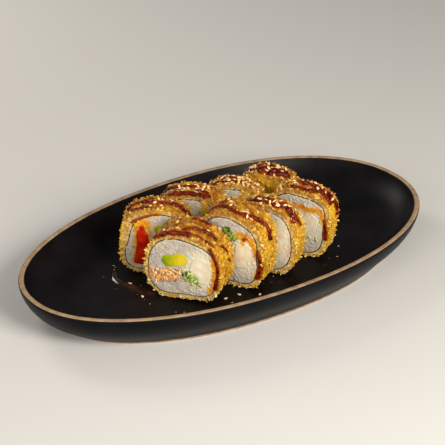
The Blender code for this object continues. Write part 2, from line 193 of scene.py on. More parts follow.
def welded(node):
    """A node's corners, each once, and its triangles."""
    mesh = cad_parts[node].data
    keys = np.round(numbers_of(mesh.vertices, "co") * 1e6).astype(np.int64)
    unique, same = np.unique(keys, axis=0, return_inverse=True)
    return unique * 1e-6, same.reshape(-1)[numbers_of(mesh.polygons, "vertices", np.int32)]


def area_vectors(places, faces):
    """Each triangle's normal, as long as its area."""
    a, b, c = (places[faces[:, i]] for i in range(3))
    return np.cross(b - a, c - a) / 2


class Slice:
    """One slice's place, direction, length and nori outline, read from its solids."""

    def __init__(self, name):
        self.name = name
        areas = area_vectors(*welded("rice_" + name))
        sizes = np.linalg.norm(areas, axis=1)
        facing = (areas[:, 0] < 0) & (areas[:, 1] < 0) & (abs(areas[:, 2]) < 0.01 * sizes)
        heading = np.degrees(np.arctan2(areas[:, 1], areas[:, 0])).round()
        totals = {h: sizes[facing & (heading == h)].sum() for h in set(heading[facing])}
        front = facing & (heading == max(totals, key=totals.get))
        self.along = -areas[front].sum(axis=0)
        self.along /= np.linalg.norm(self.along)
        self.across = np.array((self.along[1], -self.along[0], 0.0))
        self.up = np.array((0.0, 0.0, 1.0))
        nori = welded("nori_" + name)[0]
        side = nori @ self.across
        rise = nori @ self.up
        front_end = self.end_plane(-1)
        self.length = self.end_plane(1) - front_end
        nori_front = (nori @ self.along).min() - front_end
        self.capped = nori_front > 1 * MM
        self.begin = nori_front if self.capped else 0.0
        self.origin = (self.along * front_end
                       + self.across * (side.min() + side.max()) / 2
                       + self.up * (rise.min() + rise.max()) / 2)

    def cut_faces(self):
        """The depths of the faces that the knife left, and which way they look."""
        back = (self.length, 1)
        return (back,) if self.capped else ((0, -1), back)

    def end_plane(self, way):
        """How far along the roll the crust's front (-1) or back (1) cut face lies."""
        places, faces = welded("crust_" + self.name)
        areas = area_vectors(places, faces)
        sizes = np.linalg.norm(areas, axis=1)
        flat = (way * areas @ self.along > FLATNESS * sizes) & (sizes > 0.5 * MM * MM)
        depths = (places[faces] @ self.along).mean(axis=1)[flat]
        return depths.max() if way > 0 else depths.min()

    def skin(self, count):
        """How far the crust's outside lies from the middle, at even clock angles."""
        places, faces = welded("crust_" + self.name)
        tree = BVHTree.FromPolygons([Vector(p) for p in places], faces.tolist())
        found = []
        for clock in np.linspace(0, math.tau, count, endpoint=False):
            ray = np.array((math.cos(clock), 0, math.sin(clock)))
            inward = Vector(self.world(-ray) - self.origin)
            hits = []
            for share in RAY_SHARES:
                start = self.world(ray * RAY_START + np.array((0, share * self.length, 0)))
                hits.append(RAY_START - tree.ray_cast(Vector(start), inward)[3])
            found.append(sorted(hits)[2])
        wrapped = np.array(found[-2:] + found + found[:2])
        return np.convolve(wrapped, (0.1, 0.2, 0.4, 0.2, 0.1), "valid")

    def local(self, places):
        """World places as (right, depth, up) from the middle of the front cut face."""
        return (np.asarray(places) - self.origin) @ np.array((self.across, self.along, self.up)).T

    def world(self, places):
        """Local (right, depth, up) places as world places."""
        return np.asarray(places) @ np.array((self.across, self.along, self.up)) + self.origin

    def outline(self, kind):
        """The outer edge of a solid's front cut face, anticlockwise, as (right, up) points."""
        places, faces = welded(kind + "_" + self.name)
        spots = self.local(places)
        areas = area_vectors(spots, faces)
        flat = -areas[:, 1] > FLATNESS * np.linalg.norm(areas, axis=1)
        near = spots[faces][:, :, 1].max(axis=1) < spots[:, 1].min() + 0.05 * MM
        edges = {(f[i], f[(i + 1) % 3]) for f in faces[flat & near] for i in range(3)}
        follow = {a: b for a, b in edges if (b, a) not in edges}
        loops = []
        while follow:
            start, step = follow.popitem()
            loop = [start]
            while step != start:
                loop.append(step)
                step = follow.pop(step)
            loops.append(spots[loop][:, (0, 2)])
        return max(loops, key=lambda points: abs(signed_area(points)))


def signed_area(points):
    """The area inside an outline, above zero where it runs anticlockwise."""
    x, z = points[:, 0], points[:, 1]
    return (x * np.roll(z, -1) - z * np.roll(x, -1)).sum() / 2


def smoothed(points, count, soften):
    """An outline as evenly spaced points from its right side round, its corners softened."""
    if signed_area(points) < 0:
        points = points[::-1]
    middle = (points.min(axis=0) + points.max(axis=0)) / 2
    turn = np.arctan2(points[:, 1] - middle[1], points[:, 0] - middle[0])
    points = np.roll(points, -int(np.argmin(abs(turn))), axis=0)
    closed = np.vstack((points, points[:1]))
    run = np.concatenate(([0], np.cumsum(np.linalg.norm(np.diff(closed, axis=0), axis=1))))
    at = np.linspace(0, run[-1], count, endpoint=False)
    even = np.column_stack([np.interp(at, run, closed[:, k]) for k in (0, 1)])
    reach = max(1, int(soften / (run[-1] / count)))
    kernel = np.hanning(2 * reach + 3)[1:-1]
    wrapped = np.vstack((even[-reach:], even, even[:reach]))
    return np.column_stack([np.convolve(wrapped[:, k], kernel / kernel.sum(), "valid")
                            for k in (0, 1)])


OUTLINE_POINTS = 720
SKIN_ANGLES = 90
slices = {name: Slice(name) for name in SLICES}


def row_slices(row):
    """The slices of one row, front or back."""
    return [cut for cut in slices.values() if cut.name.startswith(row)]


for cut in slices.values():
    cut.wrap = smoothed(cut.outline("nori"), OUTLINE_POINTS, 2.0 * MM)
    cut.radii = cut.skin(SKIN_ANGLES)
    cut.half_width = np.ptp(cut.wrap[:, 0]) / 2
    cut.half_height = np.ptp(cut.wrap[:, 1]) / 2
    heading = math.degrees(math.atan2(cut.along[1], cut.along[0]))
    print(cut.name, "heading", round(heading), "length", round(cut.length / MM, 1),
          "nori", round(2 * cut.half_width / MM, 1), "x", round(2 * cut.half_height / MM, 1))

# %% [markdown]
# ## Spun blanks
#
# Jacket, nori, rice and fillings all run along the roll, so one way makes them all: a profile is
# drawn by extruding a single point, spun once round the roll's axis, and the round blank is then
# bent onto each slice's own outline. A blank is modelled once and copied, each copy with its mesh.

# %% Blanks
BLANK_RADIUS = 20 * MM


def places_of(mesh):
    """A mesh's vertex places as an array."""
    return numbers_of(mesh.vertices, "co").astype(float)


def move_to(mesh, places):
    """Put a mesh's vertices at new places."""
    mesh.vertices.foreach_set("co", np.asarray(places, np.float32).ravel())
    mesh.update()


def normals_of(mesh):
    """A mesh's vertex normals as an array."""
    return numbers_of(mesh.vertices, "normal").astype(float)


def paint(mesh, name, values):
    """Store one number for each vertex, which the materials read by its name."""
    layer = mesh.attributes.get(name) or mesh.attributes.new(name, "FLOAT", "POINT")
    layer.data.foreach_set("value", np.asarray(values, np.float32))


def spin_blank(name, profile, steps, closed):
    """Draw a profile of (distance out, depth) points by extruding a vertex, then spin it round."""
    clean_start()
    bpy.ops.mesh.primitive_plane_add(size=MM, location=(0, 0, 0))
    blank = bpy.context.object
    blank.name = name
    bpy.ops.object.mode_set(mode="EDIT")
    bpy.ops.mesh.merge(type="CENTER")
    bpy.ops.transform.translate(value=(profile[0][0], profile[0][1], 0))
    ends = profile[1:] + profile[:1] if closed else profile[1:]
    for (out, depth), (next_out, next_depth) in zip(profile, ends):
        shift = (next_out - out, next_depth - depth, 0)
        bpy.ops.mesh.extrude_vertices_move(TRANSFORM_OT_translate={"value": shift})
    bpy.ops.mesh.select_all(action="SELECT")
    bpy.ops.mesh.spin(steps=steps, angle=math.tau, center=(0, 0, 0), axis=(0, 1, 0))
    bpy.ops.mesh.select_all(action="SELECT")
    bpy.ops.mesh.remove_doubles(threshold=0.002 * MM)
    bpy.ops.mesh.normals_make_consistent(inside=False)
    bpy.ops.object.mode_set(mode="OBJECT")
    print(name, "blank:", len(blank.data.polygons), "faces")
    return blank


def ring_profile(inner, outer, face_rows, side_rows, edge):
    """The section of a ring: front cut face, outside, back cut face. Depth runs from 0 to 1."""
    face = [(out, 0.0) for out in np.linspace(inner, outer - 0.08 * (outer - inner), face_rows)]
    side = [(outer, depth) for depth in np.linspace(edge, 1 - edge, side_rows)]
    back = [(out, 1.0) for out, depth in reversed(face)]
    return [(BLANK_RADIUS + out, depth) for out, depth in face + side + back]


def plug_profile(face_rows, side_rows):
    """Half the section of a solid plug, from the middle of one cut face to that of the other."""
    share = np.linspace(0, 1, face_rows) ** 0.8
    face = [(BLANK_RADIUS * s * 0.985, 0.0) for s in share]
    side = [(BLANK_RADIUS, depth) for depth in np.linspace(0.015, 0.985, side_rows)]
    back = [(out, 1.0) for out, depth in reversed(face)]
    return face + side + back


def copy_of(blank, name):
    """A copy of a blank with its own mesh."""
    return in_scene(name, blank.data.copy())


def along_outline(outline, turn):
    """Points and outward normals of a closed outline at turns from 0 to 1."""
    spots = np.asarray(turn) % 1 * len(outline)
    index = spots.astype(int) % len(outline)
    rest = (spots - np.floor(spots))[:, None]
    ahead = (index + 1) % len(outline)
    points = outline[index] * (1 - rest) + outline[ahead] * rest
    run = outline[(index + 4) % len(outline)] - outline[(index - 4) % len(outline)]
    run /= np.linalg.norm(run, axis=1)[:, None]
    return points, np.column_stack((run[:, 1], -run[:, 0]))


def turns_of(places):
    """How far round the blank each vertex lies, from 0 to 1."""
    return np.arctan2(places[:, 2], places[:, 0]) / math.tau % 1


def bend_ring(blank, name, cut, outline):
    """Copy a spun ring and bend it onto an outline. Gives back each vertex's depth too, 0 to 1."""
    piece = copy_of(blank, name)
    places = places_of(piece.data)
    points, normals = along_outline(outline, turns_of(places))
    out = (np.hypot(places[:, 0], places[:, 2]) - BLANK_RADIUS)[:, None]
    section = points + normals * out
    depth = cut.begin + places[:, 1] * (cut.length - cut.begin)
    move_to(piece.data, cut.world(np.column_stack((section[:, 0], depth, section[:, 1]))))
    return piece, places[:, 1]


def fill_outline(blank, name, cut, outline, start, end):
    """Copy a spun plug and shape it to fill an outline from one depth to another."""
    piece = copy_of(blank, name)
    places = places_of(piece.data)
    points = along_outline(outline, turns_of(places))[0]
    middle = outline.mean(axis=0)
    share = (np.hypot(places[:, 0], places[:, 2]) / BLANK_RADIUS)[:, None]
    section = middle + (points - middle) * share
    depth = start + places[:, 1] * (end - start)
    move_to(piece.data, cut.world(np.column_stack((section[:, 0], depth, section[:, 1]))))
    return piece, share[:, 0]


def push_out(piece, amounts):
    """Move each vertex along its normal by its own amount."""
    mesh = piece.data
    move_to(mesh, places_of(mesh) + normals_of(mesh) * np.asarray(amounts)[:, None])


core_blank = spin_blank("core", plug_profile(30, 5), 180, closed=False)

# %% [markdown]
# ## Materials
#
# Food has few flat colours. Every finish here mixes two or three colours by noise at the scale of
# the real thing, by painted attributes such as how much sauce has soaked in, and gets its fine
# relief from a bump. Two effects come back in most of them, so they are node groups: mottling,
# which puts out a mixed colour, and grain, which puts out a normal.

# %% Shared shader groups
def shader_group(name, inputs, output, parts, wires):
    """A node group: its inputs and output, its nodes by name, and the sockets that wires join."""
    group = bpy.data.node_groups.new(name, "ShaderNodeTree")
    for socket, kind in inputs.items():
        group.interface.new_socket(name=socket, in_out="INPUT", socket_type="NodeSocket" + kind)
    group.interface.new_socket(name=output, in_out="OUTPUT", socket_type={
        "Color": "NodeSocketColor", "Normal": "NodeSocketVector"}[output])
    nodes = {"in": group.nodes.new("NodeGroupInput"), "out": group.nodes.new("NodeGroupOutput")}
    for part, (kind, settings) in parts.items():
        nodes[part] = group.nodes.new("ShaderNode" + kind)
        if kind == "Mix":
            nodes[part].data_type = "RGBA"
        for socket, value in settings.items():
            nodes[part].inputs[socket].default_value = value
    for start, leaving, end, entering in wires:
        group.links.new(nodes[start].outputs[leaving], nodes[end].inputs[entering])
    return group


mottle = shader_group(
    "mottle", {"Dark": "Color", "Light": "Color", "Scale": "Float"}, "Color",
    {"coords": ("TexCoord", {}), "noise": ("TexNoise", {"Detail": 5}),
     "range": ("MapRange", {"From Min": 0.35, "From Max": 0.65}), "mix": ("Mix", {})},
    (("coords", "Object", "noise", "Vector"), ("in", "Scale", "noise", "Scale"),
     ("noise", "Fac", "range", "Value"), ("range", "Result", "mix", "Factor"),
     ("in", "Dark", "mix", "A"), ("in", "Light", "mix", "B"), ("mix", "Result", "out", "Color")))
grain = shader_group(
    "grain", {"Scale": "Float", "Height": "Float"}, "Normal",
    {"coords": ("TexCoord", {}), "noise": ("TexNoise", {"Detail": 4, "Roughness": 0.65}),
     "bump": ("Bump", {"Strength": 0.7})},
    (("coords", "Object", "noise", "Vector"), ("in", "Scale", "noise", "Scale"),
     ("noise", "Fac", "bump", "Height"), ("in", "Height", "bump", "Distance"),
     ("bump", "Normal", "out", "Normal")))
print("shared groups:", mottle.name, "and", grain.name)

# %% [markdown]
# A finish starts as a plain glossy shader. Each method adds one effect and gives back a socket, so
# a material reads as a few lines: its colours, what mixes them, and its relief.

# %% Material helpers
class Finish:
    """A Principled material under construction, with short ways to add the shared effects."""

    def __init__(self, name, roughness, specular, scatter=0.0, reach=1.0):
        self.material = bpy.data.materials.new(name)
        self.material.use_nodes = True
        self.nodes = self.material.node_tree.nodes
        self.link = self.material.node_tree.links.new
        self.shader = self.nodes["Principled BSDF"].inputs
        self.shader["Roughness"].default_value = roughness
        self.shader["Specular IOR Level"].default_value = specular
        self.shader["Subsurface Weight"].default_value = scatter
        self.shader["Subsurface Scale"].default_value = reach * MM

    def grouped(self, group, **values):
        """A shared group with its inputs set."""
        node = self.nodes.new("ShaderNodeGroup")
        node.node_tree = group
        for socket, value in values.items():
            node.inputs[socket].default_value = value
        return node

    def mottled(self, dark, light, scale):
        """Two colours mixed by noise; scale is in patches for each metre."""
        return self.grouped(mottle, Dark=(*linear(*dark), 1), Light=(*linear(*light), 1),
                            Scale=scale).outputs["Color"]

    def painted(self, name):
        """A number painted on the mesh."""
        node = self.nodes.new("ShaderNodeAttribute")
        node.attribute_name = name
        return node.outputs["Fac"]

    def ranged(self, value, *limits):
        """A value carried from one low and high onto another, or onto 0 to 1, and held there."""
        node = self.nodes.new("ShaderNodeMapRange")
        self.link(value, node.inputs["Value"])
        for socket, limit in zip(("From Min", "From Max", "To Min", "To Max"), limits):
            node.inputs[socket].default_value = limit
        return node.outputs["Result"]

    def blended(self, first, second, factor, *limits):
        """Two colours, sockets or sRGB, mixed by a socket or by a number painted on the mesh."""
        node = self.nodes.new("ShaderNodeMix")
        node.data_type = "RGBA"
        for socket, colour in (("A", first), ("B", second)):
            if isinstance(colour, tuple):
                node.inputs[socket].default_value = (*linear(*colour), 1)
            else:
                self.link(colour, node.inputs[socket])
        if isinstance(factor, str):
            factor = self.painted(factor)
        if limits:
            factor = self.ranged(factor, *limits)
        self.link(factor, node.inputs["Factor"])
        return node.outputs["Result"]

    def finished(self, colour, bumps, height):
        """Set the base colour and the fine relief: bumps for each metre, height in millimetres."""
        self.link(colour, self.shader["Base Color"])
        relief = self.grouped(grain, Scale=bumps, Height=height * MM)
        self.link(relief.outputs["Normal"], self.shader["Normal"])
        print("finish:", self.material.name)
        return self.material


def nodes_of(part, row=""):
    """The frame's nodes for one part of all the slices, or of those in one row."""
    return [part + "_" + name for name in SLICES if name.startswith(row)]


def put_on(piece, material, slot, *nodes):
    """Dress a finished piece and tie it to the frame."""
    piece.data.materials.clear()
    piece.data.materials.append(material)
    piece.data.shade_smooth()
    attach(piece, "root")
    if nodes:
        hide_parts(*nodes)


# %% [markdown]
# ## The plate
#
# An oval coupe plate in dark satin stoneware. The potter left the flat rim unglazed, so a band of
# raw clay runs round it, and the foot ring is raw too. A turned shape is spun from its profile;
# here the round blank is then carried onto the oval, which shrinks in proportion in the middle
# and moves in by an equal distance near the rim, so that the wall is as thick all round.

# %% Plate
PLATE_HALF_LENGTH = cad_box[1].x
PLATE_HALF_WIDTH = 80.4 * MM
PLATE_POWER = 2.13
PLATE_EGG = 0.055
MEAN_RADIUS = 110 * MM
PLATE_PROFILE = (
    (0, 7.0), (30, 7.0), (60, 7.0), (75, 7.0), (82, 7.2), (87, 7.7), (91, 8.8), (94.5, 10.5),
    (98, 13.1), (101, 16.2), (103.8, 19.6), (105.6, 22.5), (106.3, 24.1), (106.9, 24.9),
    (107.4, 25.0), (108.8, 25.0), (109.4, 24.9), (109.9, 24.3), (110, 23.4), (109.4, 20.5),
    (108, 16.8), (105.6, 12.6), (102.4, 8.8), (98.5, 5.2), (95.2, 2.4), (94.0, 1.1),
    (93.4, 0.3), (92.6, 0), (91, 0), (88, 0), (86.9, 0), (86.2, 0.4), (85.6, 1.4), (84.6, 1.8),
    (80, 1.8), (50, 1.8), (0, 1.8))


def onto_oval(places):
    """Carry the round blank's vertices onto the oval plate. The blank's depth is its height."""
    angle = np.arctan2(places[:, 2], places[:, 0])
    radius = np.hypot(places[:, 0], places[:, 2])
    cosine, sine = np.cos(angle), np.sin(angle)
    rim_x = PLATE_HALF_LENGTH * np.sign(cosine) * abs(cosine) ** (2 / PLATE_POWER)
    rim_y = PLATE_HALF_WIDTH * np.sign(sine) * abs(sine) ** (2 / PLATE_POWER)
    rim_y *= 1 + PLATE_EGG * rim_x / PLATE_HALF_LENGTH
    rim = np.column_stack((rim_x, rim_y))
    normal = rim / np.array((PLATE_HALF_LENGTH ** 2, PLATE_HALF_WIDTH ** 2))
    normal /= np.linalg.norm(normal, axis=1)[:, None]
    share = (radius / MEAN_RADIUS)[:, None]
    inset = rim - normal * (MEAN_RADIUS - radius)[:, None]
    blend = np.clip((share - 0.80) / 0.15, 0, 1)
    blend = blend * blend * (3 - 2 * blend)
    return np.column_stack((rim * share * (1 - blend) + inset * blend, places[:, 1])), radius


def between(values, low, high):
    """Which values lie between two limits, given in millimetres."""
    return (values > low * MM) & (values < high * MM)


plate_blank = [(radius * MM, height * MM) for radius, height in PLATE_PROFILE]
plate = spin_blank("stoneware_plate", plate_blank, 128, closed=False)
oval, plate_radius = onto_oval(places_of(plate.data))
height = oval[:, 2]
move_to(plate.data, oval)
lip = between(plate_radius, 106.5, 109.6) & (height > 24.5 * MM)
foot = between(plate_radius, 86.0, 94.4) & (height < 1.2 * MM)
# The outside wall and the underside turn away from the light, so the finish paints them darker and
# bluer, as painted shade
shaded_outer_wall = (height < 23.5 * MM) & (plate_radius > 107.4 * MM)
shaded_under_side = (height < 12 * MM) & (plate_radius > 96 * MM) & (
    height < (plate_radius - 90 * MM) * 0.9)
paint(plate.data, "raw", lip * 1.0 + foot * 1.0)
paint(plate.data, "outside", (shaded_outer_wall | shaded_under_side) * 1.0)
bpy.ops.object.mode_set(mode="EDIT")
bpy.ops.mesh.select_all(action="SELECT")
bpy.ops.mesh.normals_make_consistent(inside=False)
bpy.ops.object.mode_set(mode="OBJECT")
plate.modifiers.new("soft", "SUBSURF").levels = 1
bpy.ops.object.modifier_apply(modifier="soft")
print("plate:", len(plate.data.polygons), "faces")

# %% [markdown]
# The glaze is satin and a little uneven, with fine speckles. The raw clay is warmer and rough.
# The outside wall is darker and bluer than the floor.

# %% Stoneware finish
stoneware = Finish("stoneware", 0.42, 0.08)
speckle = stoneware.nodes.new("ShaderNodeTexVoronoi")
speckle.inputs["Scale"].default_value = 900
coords = stoneware.nodes.new("ShaderNodeTexCoord")
stoneware.link(coords.outputs["Object"], speckle.inputs["Vector"])
glaze = stoneware.mottled((9, 8, 10), (18, 15, 18), 60)
glaze = stoneware.blended((42, 38, 40), glaze, speckle.outputs["Distance"], 0.05, 0.16)
# Painted shade: the outside wall and the underside get a darker, bluer glaze colour than the inside
outer = stoneware.mottled((5, 6, 9), (11, 12, 17), 80)
glaze = stoneware.blended(glaze, outer, "outside")
clay = stoneware.mottled((134, 111, 87), (166, 138, 107), 220)
raw = stoneware.ranged(stoneware.painted("raw"), 0.35, 0.65)
stoneware.link(stoneware.ranged(raw, 0, 1, 0.40, 0.75), stoneware.shader["Roughness"])
put_on(plate, stoneware.finished(stoneware.blended(glaze, clay, raw), 700, 0.10),
       "plate", "plate")

# %% [markdown]
# ## The crust
#
# The jacket is batter and breadcrumbs, fried: three to eight millimetres thick, smooth where it
# lies on the nori, bready at the cut faces, and outside a landscape of chips and flakes. It could
# be one shader with a bump, but the crags show against the plate, so they are geometry. The spun
# ring goes from the nori's outline to the skin that was measured on the solid, and noise at four
# sizes roughens it. Loose crumbs are set on it later.

# %% Crust
JACKET = 4.0 * MM
SWELL_SIZE = 9.0 * MM
BIG_CHIP = 2.6 * MM
SMALL_CHIP = 1.3 * MM
GRIT_SIZE = 0.7 * MM
# How much of the full relief a cut face shows
FACE_RELIEF = 0.32

jacket_blank = spin_blank(
    "jacket", ring_profile(0.1 * MM, JACKET, 9, 40, 0.02), 300, closed=True)


def bend_jacket(cut, name):
    """Copy the jacket blank, its inside on the nori and its outside on the crust's skin."""
    piece = copy_of(jacket_blank, name)
    places = places_of(piece.data)
    inner = along_outline(cut.wrap, turns_of(places))[0]
    outer = onto_skin(cut, inner)
    share = (np.hypot(places[:, 0], places[:, 2]) - BLANK_RADIUS) / JACKET
    section = inner + (outer - inner) * share[:, None]
    local = np.column_stack((section[:, 0], places[:, 1] * cut.length, section[:, 1]))
    move_to(piece.data, cut.world(local))
    return piece, share, places[:, 1]


def onto_skin(cut, points):
    """Some (right, up) points, each carried straight out onto the crust's measured skin."""
    clock = np.arctan2(points[:, 1], points[:, 0]) / math.tau % 1 * SKIN_ANGLES
    radii = np.interp(clock, np.arange(SKIN_ANGLES + 1), np.append(cut.radii, cut.radii[0]))
    return points * (radii / np.linalg.norm(points, axis=1))[:, None]


def chips(place, size):
    """Flat-topped chips with crevices between them, each at its own height, from 0 to 1."""
    near, spots = noise.voronoi(place / size)
    top = min(1.0, 2.4 * (near[1] - near[0]))
    return top * (0.3 + 0.7 * noise.cell(spots[0] * 7.3))


def crag_height(place):
    """The crust's relief at a place, in metres, about zero."""
    swell = noise.noise(place / SWELL_SIZE)
    grit = noise.noise(place / GRIT_SIZE)
    crags = 0.6 * chips(place, BIG_CHIP) + 0.4 * chips(place, SMALL_CHIP)
    return (0.5 * swell + crags + 0.16 * grit - 0.5) * MM


def tree_of(piece):
    """A search tree over a piece's faces, for finding where a ray meets it."""
    return BVHTree.FromPolygons(
        [Vector(p) for p in places_of(piece.data)], [f.vertices[:] for f in piece.data.polygons])


def roughen(piece, outside):
    """Give a crust piece its crags: full on the outside, low on a cut face, none on the floor."""
    places = places_of(piece.data)
    relief = np.array([crag_height(Vector(place)) for place in places])
    push_out(piece, relief * np.maximum(outside, FACE_RELIEF))
    places = places_of(piece.data)
    places[:, 2] = np.maximum(places[:, 2], PLATE_FLOOR + 0.15 * MM)
    move_to(piece.data, places)
    # The crag height is painted too; the crust finish browns the low places by it, partly toasting
    # and partly painted shade between the crumbs
    paint(piece.data, "crag", np.clip(relief / (1.5 * MM) + 0.5, 0, 1))


for cut in slices.values():
    cut.crust, cut.crust_share, cut.crust_depth = bend_jacket(cut, "fried_crust_" + cut.name)
    cut.crust_outer = np.clip((cut.crust_share - 0.75) / 0.2, 0, 1)
    closed_end = cut.capped & (cut.crust_depth < 0.5)
    roughen(cut.crust, np.maximum(cut.crust_outer, 0.8 * closed_end))
    fried = np.clip((cut.crust_share - 0.45) / 0.45, 0, 1)
    paint(cut.crust.data, "crust", np.where(closed_end, 1, fried))
    cut.tree = tree_of(cut.crust)
print("crusts:", len(slices), "x", len(cut.crust.data.polygons), "faces")

# %% [markdown]
# One slice is the end of the roll, so its front is not a cut face but crumbed too. A plug with many
# rows is shaped to the inside of the skin and gets the same crags.

# %% Crumbed end
END_DEPTH = 2.1 * MM
END_SETBACK = 0.05 * MM
# The plug stays this much inside the skin, so that it meets the jacket without standing out
END_SIZE = 0.975
end_caps = {}
for cut in slices.values():
    if cut.capped:
        cap, share = fill_outline(core_blank, "fried_end_" + cut.name, cut,
                                  onto_skin(cut, cut.wrap) * END_SIZE, END_SETBACK, END_DEPTH)
        cut.cap_facing = cut.local(places_of(cap.data))[:, 1] < END_SETBACK + 0.2 * MM
        roughen(cap, cut.cap_facing * np.clip((1.0 - share) * 8 + 0.4, 0, 1))
        paint(cap.data, "crust", np.ones(len(share)))
        end_caps[cut.name] = cap
print("crumbed ends:", list(end_caps))

# %% [markdown]
# ## Sauce
#
# Thick dark sauce was drawn over the slices in strands, and ran down some of the cut faces. Each
# strand follows the crust: a ray from outside finds the surface under each of its points, and a
# curve with a changing width runs through them. Remeshing all of a slice's strands together and
# smoothing them melts crossings and drips into one another, as liquid does.

# %% Sauce paths
# A strand is its half width in millimetres, then its points. A point is a clock angle in degrees,
# anticlockwise from the slice's right side, and a depth in millimetres behind the front cut face.
STRANDS = {}
STRANDS["front_1"] = (
    (1.44, (146, 4.5), (142, 5), (136, 2.2), (131, 1.2), (121, 1), (105, 1), (92, 1), (84, 1.2),
     (74, 1.4)),
    (1.25, (93, 4.2), (86, 7), (78, 9.5), (71, 10.2), (64, 10.8), (54, 11.8), (46, 11.5),
     (42, 10.5)),
    (0.88, (74, 3), (66, 3.6), (57, 3), (47, 3.2), (38, 4)),
    (1, (93, 18.5), (84, 19.8), (72, 19.8), (60, 20.4)),
    (0.75, (33, 10.5), (27, 13), (21, 14), (15, 14)),
    (0.75, (9, 13.5), (3, 16), (-1, 17.8)))
STRANDS["front_2"] = (
    (1.31, (127, 1.6), (122, 6.2), (110, 7.8), (96, 6), (86, 3.8), (77, 2.8), (70, 4)),
    (1.69, (74, 3.2), (67, 5), (60, 7.2), (54, 8), (48, 9.2)),
    (1.44, (50, 8.8), (44, 10.8), (34, 11), (27, 10.5), (22, 8.4)),
    (1.88, (26, 10.2), (23, 8.8), (22, 8)),
    (1, (124, 12), (112, 14.2), (100, 15.4)))
STRANDS["front_3"] = (
    (1.31, (134, 2.5), (134, 7.2), (125, 6), (114, 6.2), (99, 3.8), (89, 3.5), (80, 3)),
    (2.19, (80, 3.2), (74, 3.6), (69, 6), (63, 7.4), (54, 6.2), (46, 5), (41, 3), (38, 2.4)),
    (1, (50, 9.2), (42, 8.6), (32, 9.2), (24, 9.2)),
    (1, (116, 11), (104, 9.6), (93, 8.8), (79, 7.2)))
STRANDS["front_4"] = (
    (1.62, (100, 10.4), (95, 10.5), (82, 11.5), (70, 11), (60, 8.4), (54, 9.2), (49, 10.4),
     (42, 8), (37, 10), (32, 11.2), (22, 12), (12, 12.4)),
    (1.44, (104, 3.4), (97, 3), (82, 3.2), (74, 2.8), (67, 6), (59, 6.5), (52, 5.8), (44, 4),
     (36, 5.4)),
    (1.88, (72, 3.4), (66, 5.6), (60, 6.2)))
STRANDS["back_1"] = (
    (1.44, (137, 9.6), (131, 9), (124, 9.5), (114, 11.2), (108, 10.8), (99, 9), (88, 8), (78, 7.8),
     (70, 8)),
    (1.81, (70, 8), (64, 8.2), (54, 9), (41, 10.5), (29, 11.8), (24, 12.8)),
    (1.12, (130, 3.4), (123, 2.5), (114, 3.2), (104, 3.5), (95, 2.4)),
    (0.75, (104, 15), (92, 14), (80, 14.6)))
STRANDS["back_2"] = (
    (1.25, (146, 9.5), (137, 15.4), (125, 12), (115, 10.8), (106, 10.2), (94, 10.2), (82, 11.4)),
    (1.44, (126, 3.2), (121, 1.8), (107, 1.2), (93, 1.2), (76, 1.2), (65, 1.4), (56, 3.6)),
    (1, (84, 6), (70, 7), (60, 6)))
STRANDS["back_3"] = (
    (1.38, (126, 1.4), (113, 3.2), (100, 3.8), (92, 4), (85, 3.5), (74, 4.6)),
    (1, (116, 8.4), (100, 8.8), (84, 8)))
STRANDS["back_4"] = (
    (1.88, (109, 4), (103, 6.4), (97, 8.5), (88, 8.6), (79, 8), (70, 9), (61, 10.2), (54, 11)),
    (2, (104, 2.2), (93, 2.8), (83, 3), (70, 5), (58, 7), (50, 8.4)),
    (1.38, (142, 9.8), (134, 12.4), (127, 9.8), (119, 8), (113, 5.6)),
    (1.12, (118, 13), (98, 14.4), (80, 13.6)))
# A drip's points are millimetres right and up of the middle of the cut face, and its half width
DRIPS = {}
DRIPS["front_1"] = (
    ((16.6, 16.5, 0.8), (18.9, 12.4, 0.9), (21, 7.4, 1), (22, 3.6, 1.15), (21.9, -2.3, 1.2),
     (21, -7, 1.6), (20.2, -10.8, 1.9)),)
DRIPS["front_2"] = (
    ((18.9, 5, 0.8), (20.4, -1.1, 1.1), (21.2, -5.9, 1.5), (20.2, -11.1, 2), (18.6, -15, 2)),)
DRIPS["front_4"] = (
    ((17.4, 6.6, 0.8), (18.3, 3.4, 0.9), (18.8, -1.4, 1.2), (18.8, -8, 1.6)),)
DRIPS["back_1"] = (
    ((-9.4, 8.4, 1.2), (-9.9, 4.5, 1.9), (-9.2, 0.5, 2.5), (-10.2, -5.5, 2.2), (-11, -10.5, 2.6),
     (-12, -15, 2)),
    ((-8.4, 11.6, 1.1), (-7.6, 6.5, 2.4), (-7.2, 0, 3), (-8.6, -7.5, 2.9), (-9.6, -15.6, 2.6)),
    ((-6.4, 6.6, 1.3), (-5.8, 3, 2.1), (-5.2, -1.5, 2), (-7, -7.5, 2.4), (-7.6, -15, 1.8)),
    ((-14.2, 12.8, 0.7), (-12.6, 14.6, 0.75), (-7.7, 16.8, 0.7), (-1.6, 19, 0.7), (3.5, 19.2, 0.6)))
SAUCE_VOXEL = 0.30 * MM
# Strands are this much fuller than they look, because smoothing thins them
STRAND_FULLNESS = 1.1
# How far in front of the cut face a drip may stand, and the thick red sauce on one slice
DRIP_RISE = 0.8 * MM
RED_RISE = 1.1 * MM
RED_SLICE = "back_1"


def threaded(points, count):
    """A path's points, and evenly spaced steps between them on a smooth line."""
    points = np.asarray(points, float)
    at = np.linspace(0, len(points) - 1, count)
    line = np.column_stack([np.interp(at, np.arange(len(points)), column) for column in points.T])
    kernel = np.array((0.25, 0.5, 0.25))
    for _ in range(3):
        padded = np.vstack((line[:1], line, line[-1:]))
        line = np.column_stack([np.convolve(column, kernel, "valid") for column in padded.T])
    return line


def on_crust(cut, tree, clock, depth):
    """Where a ray from outside, at a clock angle and a depth, meets a tree: place and normal."""
    ray = np.array((math.cos(clock), 0, math.sin(clock)))
    start = cut.world(ray * 2 * cut.half_width + np.array((0, depth, 0)))
    inward = cut.world(-ray) - cut.origin
    return tree.ray_cast(Vector(start), Vector(inward))[:2]


